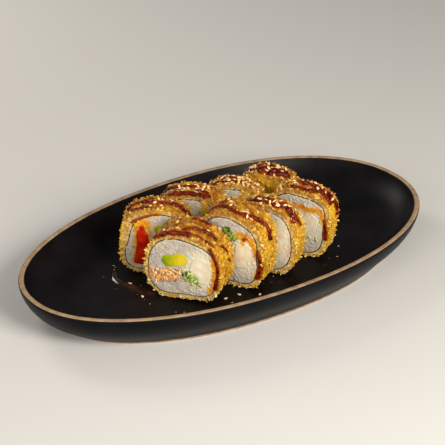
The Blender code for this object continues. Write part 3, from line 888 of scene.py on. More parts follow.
def liquid_curve(name, points):
    """A curve through (place, radius) points, as thick as its radii say."""
    curve = bpy.data.curves.new(name, "CURVE")
    curve.dimensions = "3D"
    curve.bevel_depth = 1.0
    curve.bevel_resolution = 3
    curve.use_fill_caps = True
    line = curve.splines.new("POLY")
    line.points.add(len(points) - 1)
    for spot, (place, radius) in zip(line.points, points):
        spot.co = (*place, 1)
        spot.radius = radius
    return in_scene(name, curve)


def melted(name, curves, voxel):
    """Join curves into one liquid body: convert, remesh, smooth."""
    clean_start()
    for item in curves:
        item.select_set(True)
    bpy.context.view_layer.objects.active = curves[0]
    bpy.ops.object.convert(target="MESH")
    bpy.ops.object.join()
    body = bpy.context.object
    body.name = name
    remesh = body.modifiers.new("remesh", "REMESH")
    remesh.mode = "VOXEL"
    remesh.voxel_size = voxel
    smooth = body.modifiers.new("smooth", "SMOOTH")
    smooth.factor = 0.6
    smooth.iterations = 5
    bpy.ops.object.modifier_apply(modifier="remesh")
    bpy.ops.object.modifier_apply(modifier="smooth")
    return body


def noise_at(places, size):
    """Smooth noise, from -1 to 1, at some places; size is in millimetres."""
    return np.array([noise.noise(Vector(place) / (size * MM)) for place in places])


def taper(index, count, draw):
    """How thick a strand is along its length: thin ends, uneven between."""
    end = min(index, count - 1 - index) / 3
    swell = 1 + 0.45 * noise.noise(Vector((index / 4, count, 0)))
    return (0.6 + 0.4 * min(1, end)) * swell * draw.uniform(0.85, 1.15)


for cut in slices.values():
    draw = random.Random("sauce " + cut.name)
    curves = []
    for half_width, *path in STRANDS[cut.name]:
        line = threaded(path, 6 * len(path))
        points = []
        for index, (clock, depth) in enumerate(line):
            depth = min(depth * MM, cut.length - 1 * MM)
            place = on_crust(cut, cut.tree, math.radians(clock), depth)[0]
            radius = STRAND_FULLNESS * half_width * MM * taper(index, len(line), draw)
            points.append((place, radius))
        curves.append(liquid_curve("strand", points))
    rise = RED_RISE if cut.name == RED_SLICE else DRIP_RISE
    for path in DRIPS.get(cut.name, ()):
        points = []
        for right, up, width in threaded(path, 6 * len(path)):
            radius = width * MM * draw.uniform(0.92, 1.08)
            sunk = max(radius - rise, 0) - 0.1 * MM
            points.append((cut.world((right * MM, sunk, up * MM)), radius))
        curves.append(liquid_curve("drip", points))
    cut.sauce = melted("sauce_" + cut.name, curves, SAUCE_VOXEL)
    push_out(cut.sauce, 0.20 * MM * noise_at(places_of(cut.sauce.data), 1.6))
    cut.sauce_tree = tree_of(cut.sauce)
print("sauce:", sum(len(cut.sauce.data.polygons) for cut in slices.values()), "faces")

# %% [markdown]
# The sauce is a thick soy glaze: dark red-brown where it is deep and amber where it thins out at
# its edges. A height above the crust is painted on it, and mixes the two colours. The one on the
# first slice of the back row is red, most so where it stands thickest on the cut face.

# %% Sauce finish
look = Finish("sauce", 0.30, 0.12)
look.shader["Coat Weight"].default_value = 0.06
look.shader["Coat Roughness"].default_value = 0.04
deep = look.mottled((58, 8, 0), (122, 32, 0), 300)
thin = look.mottled((126, 54, 2), (176, 96, 4), 500)
scarlet = look.mottled((158, 10, 12), (222, 42, 8), 260)
brown_sauce = look.blended(thin, deep, "body")
sauce_look = look.finished(look.blended(brown_sauce, scarlet, "red"), 1500, 0.05)
for cut in slices.values():
    spots = places_of(cut.sauce.data)
    heights = np.array([cut.tree.find_nearest(Vector(p))[3] for p in spots])
    local = cut.local(spots)
    ratio = np.hypot(local[:, 0] / cut.half_width, local[:, 2] / cut.half_height)
    on_face = (local[:, 1] < 0.2 * MM) & (heights > 0.3 * MM) & (ratio < 1.12)
    is_red = cut.name == RED_SLICE
    proud = np.clip((-local[:, 1] - 0.1 * MM) / ((1.1 if is_red else 0.35) * MM), 0, 1)
    paint(cut.sauce.data, "body", np.where(on_face, proud, np.clip(heights / (0.4 * MM), 0, 1)))
    inner_sheet = on_face & (abs(local[:, 0]) < 15 * MM) & (local[:, 2] < 13 * MM)
    bright = np.clip(0.85 + local[:, 2] / (50 * MM), 0.5, 1) if is_red else 0.1
    paint(cut.sauce.data, "red", inner_sheet * np.clip(1.4 * proud, 0, 1) * bright)
    put_on(cut.sauce, sauce_look, "crust", "crust_" + cut.name)

# %% [markdown]
# ## Soaking
#
# Where sauce lies or has run, the crust and the rice beside it are stained amber. The stain is
# painted on the crust, rice and fillings. It fades with the distance from the sauce, soaks the
# tops in patches, and follows a few ragged paths on the cut faces, where the picture shows a film.

# %% Stains
# A film is its reach in millimetres, its strength, then its path over the front cut face
FILMS = {}
FILMS["front_1"] = (
    (1.5, 0.87, (18.8, 8), (19.8, 3), (19.6, -3), (18.8, -8), (17.2, -12.5)),)
FILMS["front_2"] = (
    (2.3, 0.87, (4.6, 11.4), (8, 11.2), (11.5, 11.4), (15.4, 9.6), (17.6, 6), (18.4, 1)),
    (1.2, 1.3, (12, 10.6), (10, 9.4), (9.2, 7)),
    (1, 0.87, (12.8, 11.2), (15, 9.4), (16.4, 6.6)))
FILMS["front_3"] = (
    (1.4, 0.3, (16.8, 8), (17.4, 0), (17, -8)),)
FILMS["front_4"] = (
    (1.9, 0.87, (-1, 12.4), (3, 12), (6, 10.6), (9, 10.8), (12.1, 11.3), (14.8, 10.4), (16.8, 7.6),
     (17.8, 2)),
    (1.1, 0.87, (8, 11.6), (12.1, 12.2), (14.8, 11.4), (16.6, 8.8)))
FILMS["back_1"] = (
    (3.2, 0.87, (-11.2, 12), (-8, 13), (-4.6, 11)),
    (1.5, 0.7, (-11.6, 9), (-11.8, 3), (-12.4, -3)),
    (1.9, 0.6, (-4, 9.8), (-3.4, 3), (-3.4, -1)))
FILM_DEPTH = 2.5 * MM
SOAK_REACH = 0.9 * MM
STRONGEST = 0.95


def away_from(path, points):
    """How far some (right, up) points lie from a path of straight steps."""
    nearest = np.full(len(points), np.inf)
    for start, end in zip(path, path[1:]):
        step = end - start
        share = np.clip((points - start) @ step / (step @ step), 0, 1)
        gaps = points - start - share[:, None] * step
        nearest = np.minimum(nearest, np.linalg.norm(gaps, axis=1))
    return nearest


def stain_on(cut, places):
    """How much sauce has soaked in at some places, from 0 to 1."""
    local = cut.local(places)
    front = np.clip(1 - local[:, 1] / FILM_DEPTH, 0, 1)
    spots = local[:, (0, 2)]
    total = np.zeros(len(places))
    ragged = 0.7 * noise_at(places, 1.8)
    for reach, strength, *path in FILMS.get(cut.name, ()):
        away = away_from(np.array(path) * MM, spots) / (reach * MM) + ragged
        total = np.maximum(total, strength * front * np.clip(1.5 - away, 0, 1))
    near = np.array([cut.soak.find(Vector(place))[2] for place in places])
    outside = np.hypot(spots[:, 0] / cut.half_width, spots[:, 1] / cut.half_height) > 1.06
    patches = np.clip(0.74 + noise_at(places, 4), 0, 1)
    rise = np.clip(spots[:, 1] / cut.half_height - 0.6, 0, 0.4) / 0.4
    total = np.maximum(total, outside * (1 - 0.25 * front) * rise * patches * STRONGEST)
    return np.clip(np.maximum(total, STRONGEST * np.exp(-(near / SOAK_REACH) ** 2)), 0, 1)


for cut in slices.values():
    spots = places_of(cut.sauce.data)[::4]
    cut.soak = kdtree.KDTree(len(spots))
    for index, spot in enumerate(spots):
        cut.soak.insert(spot, index)
    cut.soak.balance()
    stain = stain_on(cut, places_of(cut.crust.data))
    paint(cut.crust.data, "stain", stain)
    print(cut.name, "mean stain of the crust:", round(float(stain.mean()), 2))
    if cut.capped:
        cap = end_caps[cut.name].data
        paint(cap, "stain", stain_on(cut, places_of(cap)))

# %% [markdown]
# Fried crumbs are golden where they are thin and stand out, browner in the hollows, and pale
# where the knife went through. The brown in the hollows is partly toasting and partly painted
# shade between the crumbs. The three colours are mixed by the painted crag height, a patchy noise
# and the cut-face mask.

# %% Crust finish
look = Finish("fried_crumbs", 0.65, 0.25, scatter=0.08, reach=2)
golden = look.mottled((190, 132, 8), (230, 186, 50), 330)
# Brown for the low places: partly toasted crumbs, partly painted shade in the hollows
brown_and_hollow_shade = look.mottled((134, 82, 8), (184, 128, 16), 500)
batter = look.mottled((148, 106, 46), (224, 192, 120), 620)
amber = look.mottled((104, 46, 5), (156, 86, 8), 400)
skin = look.blended(batter, look.blended(brown_and_hollow_shade, golden, "crag", 0.1, 0.5), "crust")
crust_look = look.finished(look.blended(skin, amber, "stain", 0.1, 0.95, 0.0, 0.85), 2200, 0.22)
for cut in slices.values():
    put_on(cut.crust, crust_look, "crust", "crust_" + cut.name)
for name, cap in end_caps.items():
    put_on(cap, crust_look, "crust", "crust_" + name)

# %% [markdown]
# ## Scattered things
#
# Crumbs, rice grains, shreds and seeds are all many copies of a few small shapes. Each shape is
# modelled once, and the copies are stacked into one mesh, so they stay real geometry at true size.

# %% Templates and stacking
def small_shape(name, subdivisions, size, uneven, seed):
    """A small lump: an ico sphere, stretched and jittered in edit mode."""
    clean_start()
    bpy.ops.mesh.primitive_ico_sphere_add(subdivisions=subdivisions, radius=0.5)
    shape = bpy.context.object
    shape.name = name
    bpy.ops.object.mode_set(mode="EDIT")
    bpy.ops.mesh.select_all(action="SELECT")
    bpy.ops.transform.resize(value=size)
    if uneven:
        bpy.ops.transform.vertex_random(offset=uneven, seed=seed)
    bpy.ops.object.mode_set(mode="OBJECT")
    faces = np.array([face.vertices[:] for face in shape.data.polygons])
    places = places_of(shape.data)
    bpy.data.objects.remove(shape)
    return places, faces


def stacked(shapes, spots):
    """Many copies as one set of places and faces. A spot is (which shape, 4x4 matrix, tone)."""
    places, faces, tones = [], [], []
    start = 0
    for which, matrix, tone in spots:
        shape, sides = shapes[which]
        turn = np.array(matrix)
        places.append(shape @ turn[:3, :3].T + turn[:3, 3])
        faces.append(sides + start)
        tones.append(np.full(len(shape), tone))
        start += len(shape)
    return np.vstack(places), np.vstack(faces), np.concatenate(tones)


def mesh_piece(name, places, faces, tones):
    """A new object from stacked copies, with each copy's tone painted on it."""
    mesh = bpy.data.meshes.new(name)
    mesh.vertices.add(len(places))
    mesh.loops.add(faces.size)
    mesh.polygons.add(len(faces))
    mesh.loops.foreach_set("vertex_index", faces.ravel().astype(np.int32))
    mesh.polygons.foreach_set("loop_start", np.arange(0, faces.size, 3, dtype=np.int32))
    move_to(mesh, places)
    mesh.validate()
    paint(mesh, "tone", tones)
    print(name + ":", len(faces), "faces")
    return in_scene(name, mesh)


def stained_piece(name, shapes, spots, owners):
    """A new object from stacked copies, each stained by the sauce on the slice that owns it."""
    places, faces, tones = stacked(shapes, spots)
    piece = mesh_piece(name, places, faces, tones)
    owners = np.repeat(np.array(owners), len(shapes[0][0]))
    stain = np.zeros(len(places))
    for owner in set(owners):
        mine = owners == owner
        stain[mine] = stain_on(slices[owner], places[mine])
    paint(piece.data, "stain", stain)
    return piece


def lying(place, normal, tilt, spin, size):
    """A matrix that lays a copy on a surface: turned by spin, tipped by tilt, scaled by size."""
    lean = Matrix.Rotation(tilt, 4, "Y")
    upright = Vector((0, 0, 1)).rotation_difference(Vector(normal)).to_matrix().to_4x4()
    turn = Matrix.Rotation(spin, 4, "Z")
    return Matrix.Translation(place) @ upright @ turn @ lean @ Matrix.Diagonal((*size, 1))


# %% [markdown]
# Panko crumbs are slivers of crustless bread, one to three millimetres long and angular. Most
# lie on the crust, thinner where sauce covers it; some stand along its cut edges like a fringe,
# which stayed white under the slices, and the cut faces are full of small pale ones.

# %% Crumbs
# How many crumbs for each slice, their shortest and longest in millimetres, and their tones
CRUMBS = {"crust": (1050, 0.7, 2.8, 0.0, 0.8), "edge": (260, 1.1, 3.6, 0.3, 0.9),
          "face": (280, 0.5, 1.5, 0.35, 0.9)}
CRUMBS_ON_END = 420
crumb_shapes = [small_shape("crumb", 1, (1, 1, 1), 0.30, seed) for seed in range(6)]


def crumb_spots_on(piece, chosen, count, kind, cut, draw):
    """Spots for crumbs on a piece, at random ones of the chosen vertices."""
    places, normals = places_of(piece.data), normals_of(piece.data)
    pool = np.flatnonzero(chosen)
    shortest, longest, low, high = CRUMBS[kind][1:]
    spots = []
    for _ in range(count):
        index = int(pool[draw.randrange(len(pool))])
        place, normal = places[index], normals[index]
        if place[2] < PLATE_FLOOR + 0.6 * MM:
            continue
        if kind != "face" and cut.soak.find(Vector(place))[2] < draw.uniform(0.3, 1.3) * MM:
            continue
        below = cut.local(place)[2] < -0.55 * cut.half_height
        length = (shortest + (longest - shortest) * draw.random() ** 1.8) * MM
        thin = 0.6 if kind == "edge" else 1.0
        size = (length, length * draw.uniform(0.45, 0.85) * thin,
                length * draw.uniform(0.25, 0.5) * thin)
        tilt = draw.gauss(0, 0.9 if kind == "edge" else 0.35)
        matrix = lying(place + normal * 0.12 * length, normal, tilt,
                       draw.uniform(0, math.tau), size)
        tone = draw.uniform(low, high) + (draw.uniform(0, 0.6) if below and kind != "crust" else 0)
        spots.append((draw.randrange(len(crumb_shapes)), matrix, tone))
    return spots


# Crumbs stuck to a cut face: how many, where right and up of its middle, and how far they spread
STUCK = {"back_2": ((300, 12.5, 9.0, 5.0), (90, 9.5, 14.5, 3.0), (90, -3.5, 13.0, 4.0)),
         "back_3": ((170, 9.5, 14.0, 4.4), (90, -8.0, 14.0, 3.2), (70, 13.0, 8.0, 4.0)),
         "back_1": ((30, 13.0, 12.0, 2.4),)}


def stuck_spots(cut, draw):
    """Spots for crumbs that lie on the front cut face."""
    spots = []
    for count, right, up, reach in STUCK.get(cut.name, ()):
        for _ in range(count):
            local = (draw.gauss(right, reach / 2) * MM, -0.3 * MM, draw.gauss(up, reach / 2) * MM)
            length = draw.uniform(0.8, 2.2) * MM
            matrix = lying(Vector(cut.world(local)), -cut.along, draw.gauss(0, 0.4),
                           draw.uniform(0, math.tau), (length, length * 0.55, length * 0.4))
            spots.append((draw.randrange(len(crumb_shapes)), matrix, draw.uniform(0, 0.8)))
    return spots


look = Finish("loose_crumbs", 0.60, 0.25, scatter=0.1, reach=1)
toasted = look.mottled((182, 122, 16), (226, 184, 58), 420)
pale = look.mottled((226, 188, 92), (240, 214, 138), 500)
flake = look.blended(toasted, pale, "tone", 0.55, 0.95)
flake = look.blended(flake, (226, 222, 190), "tone", 0.95, 1.2)
flake = look.blended(flake, (130, 64, 4), "stain", 0.3, 1.0, 0.0, 0.9)
crumb_look = look.finished(flake, 3000, 0.1)

for row in ("front", "back"):
    spots = []
    owners = []
    for cut in row_slices(row):
        draw = random.Random("crumbs " + cut.name)
        ends = (cut.crust_depth < 0.03) | (cut.crust_depth > 0.97)
        chosen = {"crust": cut.crust_outer > 0.9, "edge": (cut.crust_share > 0.7) & ends,
                  "face": (cut.crust_share > 0.1) & (cut.crust_share < 0.8) & ends}
        mine = []
        for kind in CRUMBS:
            mine += crumb_spots_on(cut.crust, chosen[kind], CRUMBS[kind][0], kind, cut, draw)
        mine += stuck_spots(cut, draw)
        if cut.capped:
            mine += crumb_spots_on(end_caps[cut.name], cut.cap_facing, CRUMBS_ON_END, "crust",
                                   cut, draw)
        spots += mine
        owners += [cut.name] * len(mine)
    crumbs = stained_piece("panko_crumbs_" + row, crumb_shapes, spots, owners)
    put_on(crumbs, crumb_look, "crust", *nodes_of("crust", row))
    crumbs.data.shade_flat()

# %% [markdown]
# ## Nori
#
# The seaweed sheet shows as a thin dark line between rice and jacket. It is a spun ring like the
# jacket, half a millimetre thick, and waves a little, as a damp sheet does between soft layers.

# %% Nori
NORI_THICKNESS = 0.45 * MM
nori_blank = spin_blank(
    "nori_sheet", ring_profile(-NORI_THICKNESS, 0.10 * MM, 3, 8, 0.01), 240, closed=True)
look = Finish("nori", 0.45, 0.4)
nori_look = look.finished(look.mottled((20, 21, 12), (58, 56, 30), 700), 1800, 0.1)
for cut in slices.values():
    sheet, depth = bend_ring(nori_blank, "nori_sheet_" + cut.name, cut, cut.wrap)
    places = places_of(sheet.data)
    local = cut.local(places)
    outward = local[:, (0, 2)] / np.linalg.norm(local[:, (0, 2)], axis=1)[:, None]
    local[:, (0, 2)] += outward * (0.16 * MM * noise_at(places, 4))[:, None]
    torn = 0.5 * MM * abs(noise_at(places, 2.5))
    local[:, 1] += np.where(depth < 0.5, torn, -torn)
    move_to(sheet.data, cut.world(local))
    put_on(sheet, nori_look, "nori", "nori_" + cut.name)

# %% [markdown]
# ## Fillings
#
# Avocado, cream cheese, shredded salmon and greens run through the rice as bars. Their outlines
# come from the solids. A plug is spun, shaped to each outline, and given its own surface: the
# avocado smooth and ridged by the knife, the cheese soft and smeared, the others rough bundles.
# Five of the bars are hidden by rice or sauce in the picture, so they start behind the front face.

# %% Filling cores
plug_blank = spin_blank("plug", plug_profile(16, 12), 96, closed=False)
FILLING_PROUD = 0.2 * MM
HIDDEN_BEHIND = 0.9 * MM
# The fillings that rice and sauce cover at the front cut face
HIDDEN = {("back_1", "salmon"), ("front_4", "greens"), ("front_4", "salmon"),
          ("front_3", "salmon"), ("front_3", "greens")}
# The height and the size of each filling's bumps, in millimetres
RELIEF = {"avocado": (0.10, 5.0), "cheese": (0.10, 3.0), "salmon": (0.55, 1.5),
          "greens": (0.5, 1.3)}

for cut in slices.values():
    cut.fillings = {}
    cut.bars = {}
    for kind, (height, size) in RELIEF.items():
        outline = smoothed(cut.outline(kind), 360, 1.6 * MM)
        start = cut.begin if cut.capped else -FILLING_PROUD
        if (cut.name, kind) in HIDDEN:
            start = HIDDEN_BEHIND
        bar, share = fill_outline(plug_blank, kind + "_bar_" + cut.name, cut, outline,
                                  start, cut.length + FILLING_PROUD)
        push_out(bar, height * MM * noise_at(places_of(bar.data), size))
        places = places_of(bar.data)
        right = cut.local(places)[:, 0] - outline[:, 0].min()
        paint(bar.data, "ripe", np.clip(right / np.ptp(outline[:, 0]), 0, 1))
        paint(bar.data, "rim", share)
        paint(bar.data, "stain", stain_on(cut, places))
        cut.fillings[kind] = outline
        cut.bars[kind] = bar

# %% [markdown]
# Avocado flesh turns from green under its skin to butter yellow at the stone. Cheese is warm
# white, and takes the amber stain. Salmon and greens get their colours from patchy noise.

# %% Filling finishes
filling_looks = {}
look = Finish("avocado_flesh", 0.35, 0.5, scatter=0.2, reach=3)
green_side = look.mottled((124, 146, 0), (156, 172, 2), 260)
yellow_side = look.mottled((208, 186, 14), (226, 202, 40), 260)
flesh = look.blended(green_side, yellow_side, "ripe", 0.15, 0.7)
flesh = look.blended(flesh, (92, 122, 16), "rim", 0.86, 1.05, 0.0, 0.5)
filling_looks["avocado"] = look.finished(flesh, 900, 0.08)

look = Finish("cream_cheese", 0.50, 0.2, scatter=0.35, reach=4)
curd = look.mottled((226, 206, 172), (240, 228, 204), 240)
curd = look.blended(curd, (222, 206, 176), "rim", 0.55, 1.0, 0.0, 0.9)
curd = look.blended(curd, (222, 156, 8), "stain", 0.05, 0.6, 0.0, 0.95)
filling_looks["cheese"] = look.finished(curd, 600, 0.12)

look = Finish("salmon_shreds", 0.42, 0.5, scatter=0.2, reach=2)
fish = look.mottled((206, 120, 44), (240, 184, 108), 700)
fish = look.blended(fish, (196, 104, 24), "stain", 0.2, 1.0, 0.0, 0.7)
filling_looks["salmon"] = look.finished(fish, 2200, 0.14)

look = Finish("chopped_greens", 0.40, 0.5, scatter=0.15, reach=2)
leaf = look.mottled((104, 130, 34), (180, 188, 86), 620)
filling_looks["greens"] = look.finished(leaf, 1800, 0.14)

for cut in slices.values():
    for kind, bar in cut.bars.items():
        put_on(bar, filling_looks[kind], kind, kind + "_" + cut.name)

# %% [markdown]
# ## Rice
#
# Pressed sushi rice keeps its grains, and at a cut face the knife has sliced most of them. A core
# fills the outline inside the nori, and whole grains are set in both its faces at random turns.
# What would stick out past the knife's plane is flattened onto it, which gives each its cut side.

# %% Rice cores
RICE_INSET = 0.25 * MM
CREAM_REACH = 7.0 * MM
look = Finish("sushi_rice", 0.45, 0.18, scatter=0.30, reach=3)
starch = look.mottled((172, 158, 138), (210, 196, 178), 300)
shade = look.mottled((174, 162, 160), (196, 186, 160), 90)
ivory = look.blended(starch, shade, "tone", 0.0, 1.0, 0.15, 0.65)
ivory = look.blended(ivory, (224, 210, 184), "cream")
honey = look.mottled((186, 104, 2), (232, 162, 12), 420)
honey = look.blended(honey, (128, 56, 2), "stain", 0.88, 1.0)
ivory = look.blended(ivory, honey, "stain", 0.05, 0.75, 0.0, 0.97)
rice_look = look.finished(ivory, 1400, 0.08)


def cream_at(cut, places):
    """How much cheese has smeared into the rice at some places, from 0 to 1."""
    spots = cut.local(places)[:, (0, 2)]
    cheese = cut.fillings["cheese"]
    away = away_from(np.vstack((cheese[::12], cheese[:1])), spots)
    return np.clip(1 - away / CREAM_REACH, 0, 1) ** 0.8


for cut in slices.values():
    normals = along_outline(cut.wrap, np.arange(OUTLINE_POINTS) / OUTLINE_POINTS)[1]
    cut.inside = cut.wrap - normals * RICE_INSET
    core, share = fill_outline(core_blank, "rice_core_" + cut.name, cut, cut.inside,
                               cut.begin, cut.length)
    places = places_of(core.data)
    lumps = [0.10 * MM * (1 - 1.6 * noise.voronoi(Vector(p) / (2.4 * MM))[0][0]) for p in places]
    push_out(core, np.array(lumps) * np.clip((1.02 - share) * 12, 0, 1))
    paint(core.data, "stain", stain_on(cut, places))
    paint(core.data, "cream", cream_at(cut, places))
    paint(core.data, "tone", 0.5 + 0.5 * noise_at(places, 3))
    put_on(core, rice_look, "rice", "rice_" + cut.name)

# %% [markdown]
# The grains lie at even distances over each cut face, clear of the fillings. Most lie nearly in
# the face, and one in seventeen stands steeply, so that its round end shows.

# %% Rice grains
GRAIN_GAP = 2.15 * MM
GRAIN_TRIES = 2600
STEEP_SHARE = 0.06
KNIFE_PLANE = 0.16 * MM


def inside_of(outline, points):
    """Which points lie inside an outline, by counting the sides that a ray crosses."""
    x, z = np.asarray(points).T
    found = np.zeros(len(x), bool)
    ahead = np.roll(outline, -1, axis=0)
    for (x0, z0), (x1, z1) in zip(outline, ahead):
        crosses = (z0 > z) != (z1 > z)
        if crosses.any():
            at = x0 + (z - z0) / (z1 - z0 + 1e-12) * (x1 - x0)
            found ^= crosses & (x < at)
    return found


def spread(outline, holes, gap, draw):
    """Points spread over an outline, no two closer than a gap, and none in a hole."""
    low, high = outline.min(axis=0), outline.max(axis=0)
    tries = np.array([[draw.uniform(low[k], high[k]) for k in (0, 1)]
                      for _ in range(GRAIN_TRIES)])
    tries = tries[inside_of(outline[::8], tries)]
    for hole in holes:
        tries = tries[~inside_of(hole[::6], tries)]
    kept = []
    for point in tries:
        if not kept or np.linalg.norm(np.array(kept) - point, axis=1).min() > gap:
            kept.append(point)
    return kept


grain_shapes = [small_shape("grain", 2, (5.0 * MM, 2.2 * MM, 2.0 * MM), 0.12 * MM, seed)
                for seed in (1, 2, 3)]
for row in ("front", "back"):
    faces_done = []
    start = 0
    for cut in row_slices(row):
        draw = random.Random("rice " + cut.name)
        holes = [cut.fillings[kind] for kind in RELIEF if (cut.name, kind) not in HIDDEN]
        inner = cut.inside * (1 - 1.3 * MM / cut.half_width)
        for face_depth, outward in cut.cut_faces():
            spots = []
            for right, up in spread(inner, holes, GRAIN_GAP, draw):
                spin = Matrix.Rotation(draw.uniform(0, math.tau), 4, "Y")
                steep = draw.random() < STEEP_SHARE
                tilt = draw.uniform(0.9, 1.5) if steep else draw.gauss(0, 0.16)
                sunk = draw.uniform(0.6, 0.95) * MM
                place = Vector((right, face_depth - outward * sunk, up))
                size = draw.uniform(0.82, 1.08)
                matrix = Matrix.Translation(place) @ spin @ Matrix.Rotation(
                    tilt, 4, "Z") @ Matrix.Scale(size, 4)
                spots.append((draw.randrange(3), matrix, draw.random()))
            places, faces, tones = stacked(grain_shapes, spots)
            proud = (places[:, 1] - face_depth) * outward
            places[:, 1] = face_depth + outward * np.minimum(
                proud, KNIFE_PLANE + 0.12 * (proud - KNIFE_PLANE))
            places = cut.world(places)
            faces_done.append((places, faces + start, tones, stain_on(cut, places),
                               cream_at(cut, places)))
            start += len(places)
    places, faces, tones, stains, creams = (np.concatenate(part) for part in zip(*faces_done))
    grains = mesh_piece("rice_grains_" + row, places, faces, tones)
    paint(grains.data, "stain", stains)
    paint(grains.data, "cream", creams)
    put_on(grains, rice_look, "rice", *nodes_of("rice", row))

# %% [markdown]
# The salmon is shredded and the greens are chopped, so at the cut faces both show loose ends:
# short bent slivers that lie every way within the filling's outline.

# %% Shreds
# How many at a face, their size in millimetres, how far they stray out of the outline, then the
# colour of the darkest, and the two shades of the usual and of the palest ones
SHREDS = {
    "salmon": (110, (5.2, 0.95, 0.7), 1.16, (128, 78, 26),
               ((214, 118, 40), (236, 158, 74)), ((240, 196, 132), (250, 222, 176))),
    "greens": (34, (3.6, 1.5, 0.5), 1.25, (44, 70, 14),
               ((120, 144, 34), (158, 174, 66)), ((188, 194, 100), (216, 214, 144))),
}
# How many the front face shows where the picture has fewer
FEW = {("front_2", "greens"): 16, ("front_3", "greens"): 8, ("front_4", "greens"): 3,
       ("front_4", "salmon"): 0, ("front_3", "salmon"): 0, ("back_1", "salmon"): 0}
# Sauce hides what is nearer to it than this
SHRED_CLEARANCE = 1.8 * MM
shred_shapes = [small_shape("shred", 2, (1, 1, 1), 0.10, seed) for seed in (11, 12, 13)]
for kind, (count, size, stray, darkest, usual, palest) in SHREDS.items():
    spots = []
    owners = []
    for cut in slices.values():
        draw = random.Random(kind + cut.name)
        outline = cut.fillings[kind]
        middle = outline.mean(axis=0)
        for face_depth, outward in cut.cut_faces():
            shown = FEW.get((cut.name, kind), count) if outward < 0 else count
            for _ in range(shown):
                edge = outline[draw.randrange(len(outline))]
                right, up = middle + (edge - middle) * math.sqrt(draw.random()) * stray
                depth = face_depth + outward * draw.uniform(0.1, 0.6) * MM
                place = Vector(cut.world((right, depth, up)))
                if cut.soak.find(place)[2] < SHRED_CLEARANCE:
                    continue
                normal = Vector(cut.along) * outward
                scale = [s * MM * draw.uniform(0.6, 1.15) for s in size]
                matrix = lying(place, normal, draw.gauss(0, 0.3), draw.uniform(0, math.tau), scale)
                dark = 0.25 if (cut.name, kind) == ("front_2", "greens") else 1.0
                spots.append((draw.randrange(3), matrix, dark * draw.random()))
                owners.append(cut.name)
    shreds = stained_piece(kind + "_pieces", shred_shapes, spots, owners)
    look = Finish(kind + "_sliver", 0.4, 0.5, scatter=0.2, reach=2)
    shade = look.blended(darkest, look.mottled(*usual, 500), "tone", 0.08, 0.2)
    shade = look.blended(shade, look.mottled(*palest, 500), "tone", 0.35, 0.7)
    put_on(shreds, look.finished(shade, 1800, 0.08), kind, *nodes_of(kind))

# %% [markdown]
# ## Sesame
#
# Toasted sesame seeds are flat drops about 3 mm long. The cook sprinkled most of them over the
# right half of the dish and its back row, so they lie thickest there, and a few fell on the plate.

# %% Sesame seeds
SEEDS = {"front_1": 6, "front_2": 16, "front_3": 30, "front_4": 16,
         "back_1": 8, "back_2": 26, "back_3": 44, "back_4": 38}
SEED_SIZE = (2.9 * MM, 1.6 * MM, 0.85 * MM)
# Millimetres right and back of the plate's middle
SEEDS_ON_PLATE = ((-31.2, -40.9), (-22.2, -41.9), (-12.2, -49.4), (-66.9, 8.0), (-69.5, -9.0))

seed_places, seed_faces = small_shape("seed", 2, SEED_SIZE, 0, 0)
point = seed_places[:, 0] / SEED_SIZE[0] + 0.5
seed_places[:, 1:] *= (1.12 - 0.75 * point ** 2.2)[:, None]
seed_spots = []
for cut in slices.values():
    draw = random.Random("sesame " + cut.name)
    for _ in range(SEEDS[cut.name]):
        clock = math.radians(min(max(draw.gauss(88, 24), 30), 138))
        depth = cut.length * draw.uniform(0.06, 0.94)
        place, normal = on_crust(cut, cut.tree, clock, depth)
        wet, slope = on_crust(cut, cut.sauce_tree, clock, depth)
        if wet and (wet - Vector(cut.origin)).length > (place - Vector(cut.origin)).length:
            place, normal = wet, slope
        matrix = lying(place + normal * 0.55 * MM, normal, draw.gauss(0, 0.25),
                       draw.uniform(0, math.tau), [draw.uniform(0.85, 1.1)] * 3)
        seed_spots.append((0, matrix, draw.random()))
for number, (x, y) in enumerate(SEEDS_ON_PLATE):
    place = Vector((x * MM, y * MM, PLATE_FLOOR + 0.45 * MM))
    seed_spots.append((0, lying(place, (0, 0, 1), 0, 1.9 * number, (1, 1, 1)), 0.6))
seeds = mesh_piece("sesame_seeds", *stacked([(seed_places, seed_faces)], seed_spots))
look = Finish("sesame", 0.35, 0.5, scatter=0.15, reach=1)
hull = look.blended(look.mottled((214, 160, 96), (236, 192, 130), 800), (244, 210, 156), "tone")
put_on(seeds, look.finished(hull, 1500, 0.04), "crust", *nodes_of("crust"))

# %% [markdown]
# ## On the plate
#
# A few drops of sauce lie on the glaze before the slices and a dark puddle at the left end, all
# low bodies of liquid, melted as the strands are. Deep sauce on a dark plate is nearly black and
# mirrors the light, so it has a finish of its own. Stray crumbs lie round the slices.

# %% Drops and stray crumbs
# Millimetres right and back of the plate's middle, and the drop's radius
DROPS = ((-74.5, 24.4, 1.5), (-62.0, 30.0, 1.9), (-69.0, -12.5, 1.4), (42.3, -45.2, 2.5),
         (-6.4, -36.4, 2.4), (-2.4, -39.0, 3.0), (2.0, -42.0, 2.4), (6.6, -45.0, 1.3),
         (13.4, -46.4, 1.2), (-76.5, 8.0, 1.2), (-31.0, -46.0, 1.3))
PUDDLE = ((-66, 27, 3.0), (-70, 20, 4.6), (-71, 13, 5.6), (-69, 6, 6.4), (-67, -1, 6.0),
          (-64, -8, 4.6), (-61, -13, 3.0))
DROP_SINK = 0.72
PUDDLE_SINK = 0.8
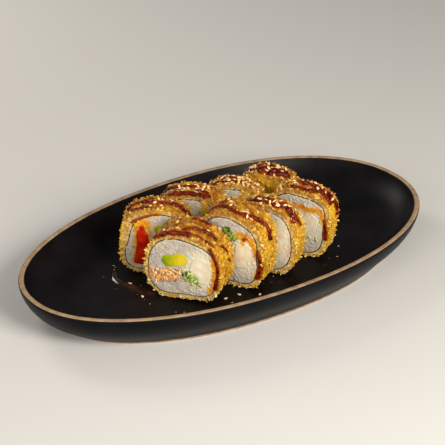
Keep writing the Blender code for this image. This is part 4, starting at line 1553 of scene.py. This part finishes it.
# Liquid bodies end this far inside the glaze
LIQUID_BELOW = 0.4 * MM
drop_curves = []
for x, y, radius in DROPS:
    sunk = PLATE_FLOOR - DROP_SINK * radius * MM
    steps = [(Vector(((x + t) * MM, (y - 0.6 * t) * MM, sunk)), radius * MM * (1 - 0.12 * abs(t)))
             for t in (-1.2, -0.6, 0, 0.6, 1.2)]
    drop_curves.append(liquid_curve("drop", steps))
drop_curves.append(liquid_curve("puddle", [
    (Vector((x * MM, y * MM, PLATE_FLOOR - PUDDLE_SINK * width * MM)), width * MM)
    for x, y, width in threaded(PUDDLE, 40)]))
drops = melted("sauce_on_plate", drop_curves, 0.35 * MM)
places = places_of(drops.data)
places[:, 2] = np.maximum(places[:, 2], PLATE_FLOOR - LIQUID_BELOW)
move_to(drops.data, places)
look = Finish("pooled_sauce", 0.10, 0.5)
pool = look.finished(look.mottled((14, 5, 4), (44, 12, 5), 300), 160, 0.5)
put_on(drops, pool, "crust")

STRAY_CRUMBS = 60
draw = random.Random("stray crumbs")
stray_spots = []
while len(stray_spots) < STRAY_CRUMBS:
    cut = slices[SLICES[draw.randrange(len(SLICES))]]
    clock = draw.uniform(0, math.tau)
    reach = cut.half_width + JACKET + abs(draw.gauss(0, 4)) * MM
    spot = cut.origin + cut.along * cut.length / 2 + np.array(
        (math.cos(clock) * reach, math.sin(clock) * reach * 0.9, 0))
    if abs(spot[0]) < 95 * MM and abs(spot[1]) < 52 * MM:
        length = draw.uniform(0.5, 1.5) * MM
        place = Vector((spot[0], spot[1], PLATE_FLOOR + 0.15 * length))
        size = (length, length * 0.6, length * 0.45)
        stray_spots.append((draw.randrange(5), lying(
            place, (0, 0, 1), 0, draw.uniform(0, math.tau), size), draw.uniform(0.3, 1)))
strays = mesh_piece("stray_crumbs", *stacked(crumb_shapes, stray_spots))
paint(strays.data, "stain", np.zeros(len(strays.data.vertices)))
put_on(strays, crumb_look, "crust")
strays.data.shade_flat()

# %% [markdown]
# ## Tidying up
#
# The blanks were only tools, so they are removed. The frame's box was printed at the start; only
# the highest crumbs and seeds stand above it, by half a millimetre.

# %% Finish
for blank in (jacket_blank, nori_blank, plug_blank, core_blank):
    bpy.data.objects.remove(blank)
bpy.context.view_layer.update()
